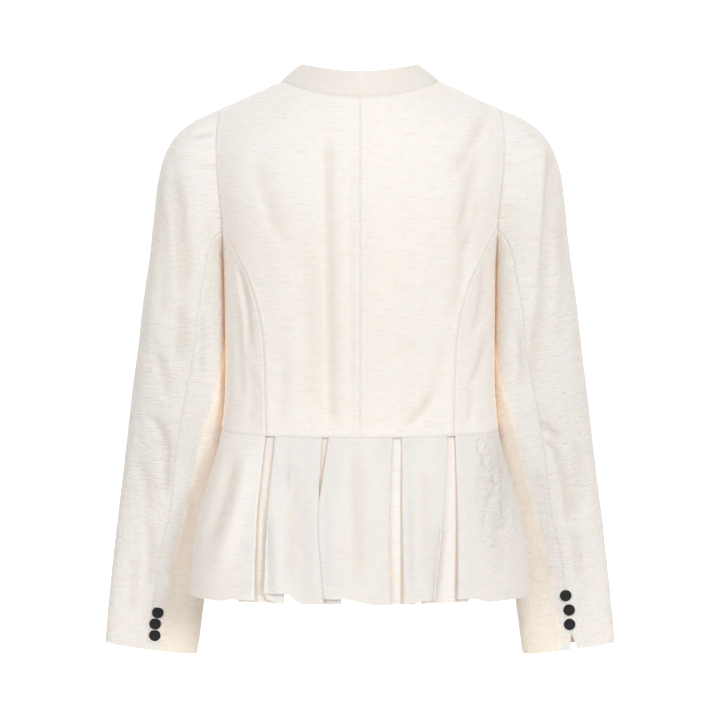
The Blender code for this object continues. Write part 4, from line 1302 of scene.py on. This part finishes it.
def panel(name, points, cloth, seams, hems=(), crinkle=None, flip=False, turned=False, seed=1):
    """One cut piece of cloth: a shell over its grid, in place of the node of its name."""
    crinkle = cloth.body_crinkle if crinkle is None else crinkle
    flat, area = cut_of(points)
    shaped, hem, seam, shade = dressed(name, points, flip, cloth, seams, hems, crinkle, seed)
    sleeve = "sleeve" in name
    crushed = SLEEVE_CRUSH if sleeve else BODY_CRUSH
    if name == "peplum_back":
        x, z, wide, high, most = CRUSHED_PATCH
        patch = bell(points[..., 0] - x, wide) * bell(points[..., 2] - z, high)
        crushed = crushed + most * patch
    rows, columns = points.shape[:2]
    index = np.arange(rows * columns).reshape(rows, columns)
    corners = (index[:-1, :-1], index[1:, :-1], index[1:, 1:], index[:-1, 1:])
    faces = np.stack(corners, axis=-1).reshape(-1, 4)
    faces = faces[:, ::-1] if flip else faces
    mesh = bpy.data.meshes.new(name + "_cloth")
    mesh.from_pydata(shaped.reshape(-1, 3).tolist(), [], faces.tolist())
    mesh.shade_smooth()
    across, down, _ = measured(points)
    across = across - across[:, across.shape[1] // 2][:, None] + 0.5 + 0.37 * seed
    level = (SLEEVE_TILT if sleeve else 0.0) * np.abs(points[..., 0]) - points[..., 2]
    level = (down if turned else level) + 1.5 + 0.23 * seed
    place = np.stack([level, across] if turned else [across, level], axis=-1).reshape(-1, 2)
    layer = mesh.uv_layers.new(name="cloth")
    corner_points = np.zeros(len(mesh.loops), dtype=np.int32)
    mesh.loops.foreach_get("vertex_index", corner_points)
    layer.data.foreach_set("uv", place[corner_points].astype(np.float32).ravel())
    # the painted light and shade goes on each point as an attribute
    point_attributes = {"hem": hem, "painted_light_and_shade": painted_light_and_shade_at(name, points), "crinkle": crushed}
    point_attributes.update({"seam": seam, "shade": shade})
    for key, values in point_attributes.items():
        values = np.broadcast_to(values, hem.shape).astype(np.float32)
        mesh.attributes.new(key, "FLOAT", "POINT").data.foreach_set("value", values.ravel())
    mesh.materials.append(shared("ivory_slub_cloth", slub_cloth, cloth))
    piece = bpy.data.objects.new(name + "_cloth", mesh)
    bpy.context.scene.collection.objects.link(piece)
    wall = piece.modifiers.new("wall", "SOLIDIFY")
    wall.thickness = cloth.thickness
    wall.offset = 0.0
    applied(piece, wall)
    bpy.ops.object.shade_smooth_by_angle(angle=math.radians(SMOOTH_BELOW))
    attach(piece, "root")
    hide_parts(name)
    return piece


def applied(piece, modifier):
    """Applies a modifier to the piece alone."""
    only(piece)
    bpy.ops.object.modifier_apply(modifier=modifier.name)


def deselect():
    for other in bpy.context.selected_objects:
        other.select_set(False)


def only(piece):
    """Selects the piece and nothing else."""
    deselect()
    piece.select_set(True)
    bpy.context.view_layer.objects.active = piece


def button(name, radius, height, place, normal, buttons):
    """A covered button: a turned blank with a domed crown and a gathered, tucked-in rim."""
    deselect()
    bpy.ops.mesh.primitive_cylinder_add(
        vertices=40, radius=radius, depth=height * 0.34, location=(0, 0, height * 0.43)
    )
    piece = bpy.context.active_object
    piece.name = name + "_covered"
    bpy.ops.object.mode_set(mode="EDIT")
    select_cap(piece, 1)
    for inset, lift in BUTTON_CROWN:
        bpy.ops.mesh.inset(thickness=radius * inset)
        bpy.ops.transform.translate(value=(0, 0, height * lift))
    select_cap(piece, -1)
    bpy.ops.mesh.inset(thickness=radius * 0.14)
    bpy.ops.transform.translate(value=(0, 0, -height * 0.12))
    bpy.ops.mesh.inset(thickness=radius * 0.50)
    bpy.ops.mesh.extrude_region_move(TRANSFORM_OT_translate={"value": (0, 0, -height * 0.14)})
    bpy.ops.object.mode_set(mode="OBJECT")
    smooth = piece.modifiers.new("smooth", "SUBSURF")
    smooth.levels = 2
    smooth.render_levels = 2
    applied(piece, smooth)
    piece.data.shade_smooth()
    piece.location = place
    piece.rotation_euler = Vector(normal).to_track_quat("Z", "Y").to_euler()
    bpy.ops.object.transform_apply(location=True, rotation=True, scale=True)
    piece.data.materials.append(shared("black_button_cover", button_cloth, buttons))
    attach(piece, "root")
    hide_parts(name)
    return piece


def select_cap(piece, side):
    """In edit mode, selects only the flat end that faces up or down."""
    bpy.ops.mesh.select_all(action="DESELECT")
    bpy.ops.object.mode_set(mode="OBJECT")
    for face in piece.data.polygons:
        face.select = face.normal.z * side > 0.9
    bpy.ops.object.mode_set(mode="EDIT")
    bpy.ops.mesh.select_mode(type="FACE")


def on_sleeve(x, z):
    """A point on the back of the left sleeve, with its normal."""
    angle = sleeve_angle(x, z)
    here, one, two = (
        sleeve_ring(np.array([a]), np.array([h]))[0]
        for a, h in ((angle, z), (angle + 0.5, z), (angle, z + 0.002))
    )
    normal = np.cross(one - here, two - here)
    normal = normal / np.linalg.norm(normal)
    return here, normal if normal[1] > 0 else -normal


def on_front(z):
    """A point on the centre front, with its normal."""
    heights = np.array([z, z + 0.004])
    here, above = body_point(-1, np.zeros(2), heights)
    run = above - here
    return here, np.array([0.0, -run[2], run[1]]) / np.hypot(run[1], run[2])


class JACKET_OT_bodice(bpy.types.Operator):
    """Cut and hang the back, side and front panels"""

    bl_idname = "jacket.bodice"
    bl_label = "Bodice panels"

    def execute(self, context):
        cloth = context.scene.jacket_cloth
        around = ("top", "bottom", "first", "last")
        back, side = centre_back_points(), side_back_points()
        panel("centre_back_left", back, cloth, around, flip=True, seed=1)
        panel("centre_back_right", mirrored(back), cloth, around, flip=True, seed=2)
        panel("side_back_left", side, cloth, around, flip=True, seed=3)
        panel("side_back_right", mirrored(side), cloth, around, flip=True, seed=4)
        left, right = front_points(0.0), mirrored(front_points(1.0))
        panel("front_left", left, cloth, ("top", "bottom", "last"), seed=5)
        panel("front_right", right, cloth, ("top", "bottom", "first"), seed=6)
        return {"FINISHED"}


class JACKET_OT_collar(bpy.types.Operator):
    """Set the collar band on the neck seam"""

    bl_idname = "jacket.collar"
    bl_label = "Collar band"

    def execute(self, context):
        cloth = context.scene.jacket_cloth
        panel("collar", collar_points(), cloth, ("bottom",), flip=True, turned=True, seed=7)
        return {"FINISHED"}


class JACKET_OT_sleeves(bpy.types.Operator):
    """Set in the upper and under sleeves"""

    bl_idname = "jacket.sleeves"
    bl_label = "Sleeves"

    def execute(self, context):
        cloth = context.scene.jacket_cloth
        seed = 8
        for part, columns in (("upper", 92), ("under", 46)):
            for side in ("left", "right"):
                points = sleeve_points(part, VENT_OPEN[side], columns)
                points = points if side == "left" else mirrored(points)
                panel(
                    f"{part}_sleeve_{side}", points, cloth, ("top", "first", "last"),
                    crinkle=cloth.sleeve_crinkle, seed=seed,
                )
                seed += 1
        return {"FINISHED"}


class JACKET_OT_peplum(bpy.types.Operator):
    """Pleat the peplum and hang it from the waist seam"""

    bl_idname = "jacket.peplum"
    bl_label = "Peplum"

    def execute(self, context):
        cloth = context.scene.jacket_cloth
        back = peplum_points(1, BACK_PLEATS, None, 0.0)
        left = peplum_points(-1, FRONT_PLEATS, -LAP, 0.0)
        right = mirrored(peplum_points(-1, FRONT_PLEATS, -LAP, 1.0))
        hems = ("bottom",)
        panel("peplum_back", back, cloth, ("top", "first", "last"), hems, seed=12)
        panel("peplum_front_left", left, cloth, ("top", "first"), hems, flip=True, seed=13)
        panel("peplum_front_right", right, cloth, ("top", "last"), hems, flip=True, seed=14)
        return {"FINISHED"}


class JACKET_OT_cuff_buttons(bpy.types.Operator):
    """Sew three covered buttons on each cuff"""

    bl_idname = "jacket.cuff_buttons"
    bl_label = "Cuff buttons"

    def execute(self, context):
        buttons = context.scene.jacket_buttons
        wall = context.scene.jacket_cloth.thickness
        for side, places in CUFF_BUTTONS.items():
            mirror = np.array([1.0 if side == "left" else -1.0, 1.0, 1.0])
            for number, (x, z) in enumerate(places, 1):
                place, normal = on_sleeve(x, z)
                tilt = math.radians(BUTTON_TILTS[number - 1])
                place = place + normal * (wall / 2 + buttons.cuff_radius * math.sin(tilt) * 0.6)
                normal = normal * math.cos(tilt) + np.array([0.0, 0.0, math.sin(tilt)])
                place = place * mirror
                name = f"cuff_button_{side}_{number}"
                size = (buttons.cuff_radius, buttons.cuff_height)
                button(name, *size, place, normal * mirror, buttons)
        return {"FINISHED"}


class JACKET_OT_front_buttons(bpy.types.Operator):
    """Sew the covered buttons down the centre front"""

    bl_idname = "jacket.front_buttons"
    bl_label = "Front buttons"

    def execute(self, context):
        buttons = context.scene.jacket_buttons
        wall = context.scene.jacket_cloth.thickness
        for number, z in enumerate(FRONT_BUTTON_HEIGHTS, 1):
            place, normal = on_front(z)
            place = place + np.array([0.0, -LAP_LIFT, 0.0]) + normal * wall / 2
            name = f"front_button_{number}"
            size = (buttons.front_radius, buttons.front_height)
            button(name, *size, place, normal, buttons)
        return {"FINISHED"}


class JACKET_OT_stage(bpy.types.Operator):
    """Lay the floor and set the lights and the camera"""

    bl_idname = "jacket.stage"
    bl_label = "Studio"

    def execute(self, context):
        studio = context.scene.jacket_studio
        lay_floor(studio)
        set_lights(studio)
        set_camera(studio)
        return {"FINISHED"}


def lay_floor(studio):
    deselect()
    bpy.ops.mesh.primitive_plane_add(size=160.0, location=(0, 0, studio.floor_height))
    floor = bpy.context.active_object
    floor.name = "studio_floor"
    floor.visible_diffuse = False
    finish = Finish("pale_floor")
    finish.hold(Base_Color=tuple(studio.floor_colour), Roughness=0.9)
    finish.hold(Emission_Color=(1.0, 1.0, 1.0, 1.0), Emission_Strength=studio.floor_glow)
    floor.data.materials.append(finish.material)


def set_lights(studio):
    """A pale surround, and large soft lamps as wide as the angle that each one spans."""
    scene = bpy.context.scene
    scene.view_settings.view_transform = "Standard"
    world = bpy.data.worlds.new("pale_studio")
    world.use_nodes = True
    tree = world.node_tree
    pale = tree.nodes["Background"]
    pale.inputs["Color"].default_value = SURROUND_COLOUR
    pale.inputs["Strength"].default_value = studio.surround
    white = tree.nodes.new("ShaderNodeBackground")
    white.inputs["Color"].default_value = (1.0, 1.0, 1.0, 1.0)
    white.inputs["Strength"].default_value = BEHIND_STRENGTH
    either = tree.nodes.new("ShaderNodeMixShader")
    rays = tree.nodes.new("ShaderNodeLightPath")
    tree.links.new(rays.outputs["Is Camera Ray"], either.inputs[0])
    tree.links.new(pale.outputs[0], either.inputs[1])
    tree.links.new(white.outputs[0], either.inputs[2])
    tree.links.new(either.outputs[0], tree.nodes["World Output"].inputs["Surface"])
    scene.world = world
    for name, azimuth, elevation, spread, strength, colour in LAMPS:
        lamp = bpy.data.lights.new(name, "SUN")
        lamp.angle = math.radians(spread)
        lamp.energy = strength
        lamp.color = colour
        holder = bpy.data.objects.new(name, lamp)
        scene.collection.objects.link(holder)
        aimed(holder, azimuth, math.radians(elevation), studio.distance, studio.height)


def set_camera(studio):
    """A long lens on the back of the jacket."""
    camera = bpy.data.cameras.new("camera")
    camera.lens = camera.sensor_width * studio.distance / studio.view_width
    holder = bpy.data.objects.new("camera", camera)
    bpy.context.scene.collection.objects.link(holder)
    aimed(holder, 180.0, studio.elevation, studio.distance, studio.height)
    bpy.context.scene.camera = holder


def aimed(holder, azimuth, elevation, distance, height):
    """Sets a lamp or camera at a direction from the jacket, looking back at it."""
    turn = math.radians(azimuth)
    back = Vector(
        (
            math.sin(turn) * math.cos(elevation),
            -math.cos(turn) * math.cos(elevation),
            math.sin(elevation),
        )
    )
    holder.location = Vector((0.0, 0.0, height)) + back * distance
    holder.rotation_euler = (-back).to_track_quat("-Z", "Y").to_euler()


class JACKET_PT_panel(bpy.types.Panel):
    """Lists the jacket's pieces and settings in the sidebar"""

    bl_idname = "JACKET_PT_panel"
    bl_label = "Peplum Jacket"
    bl_space_type = "VIEW_3D"
    bl_region_type = "UI"
    bl_category = "Jacket"

    def draw(self, context):
        for operator in OPERATORS:
            self.layout.operator(operator.bl_idname)
        for group in ("jacket_cloth", "jacket_buttons", "jacket_studio"):
            settings = getattr(context.scene, group)
            box = self.layout.box()
            for name in settings.__annotations__:
                box.prop(settings, name)


OPERATORS = (
    JACKET_OT_bodice,
    JACKET_OT_collar,
    JACKET_OT_sleeves,
    JACKET_OT_peplum,
    JACKET_OT_cuff_buttons,
    JACKET_OT_front_buttons,
    JACKET_OT_stage,
)
GROUPS = {
    "jacket_cloth": JacketCloth,
    "jacket_buttons": JacketButtons,
    "jacket_studio": JacketStudio,
}


def register():
    for kind in (*GROUPS.values(), *OPERATORS, JACKET_PT_panel):
        bpy.utils.register_class(kind)
    for name, group in GROUPS.items():
        setattr(bpy.types.Scene, name, PointerProperty(type=group))


def unregister():
    for name in GROUPS:
        delattr(bpy.types.Scene, name)
    for kind in reversed((*GROUPS.values(), *OPERATORS, JACKET_PT_panel)):
        bpy.utils.unregister_class(kind)


def main():
    register()
    bpy.ops.jacket.bodice()
    bpy.ops.jacket.collar()
    bpy.ops.jacket.sleeves()
    bpy.ops.jacket.peplum()
    bpy.ops.jacket.cuff_buttons()
    bpy.ops.jacket.front_buttons()
    bpy.ops.jacket.stage()


if __name__ == "__main__":
    main()
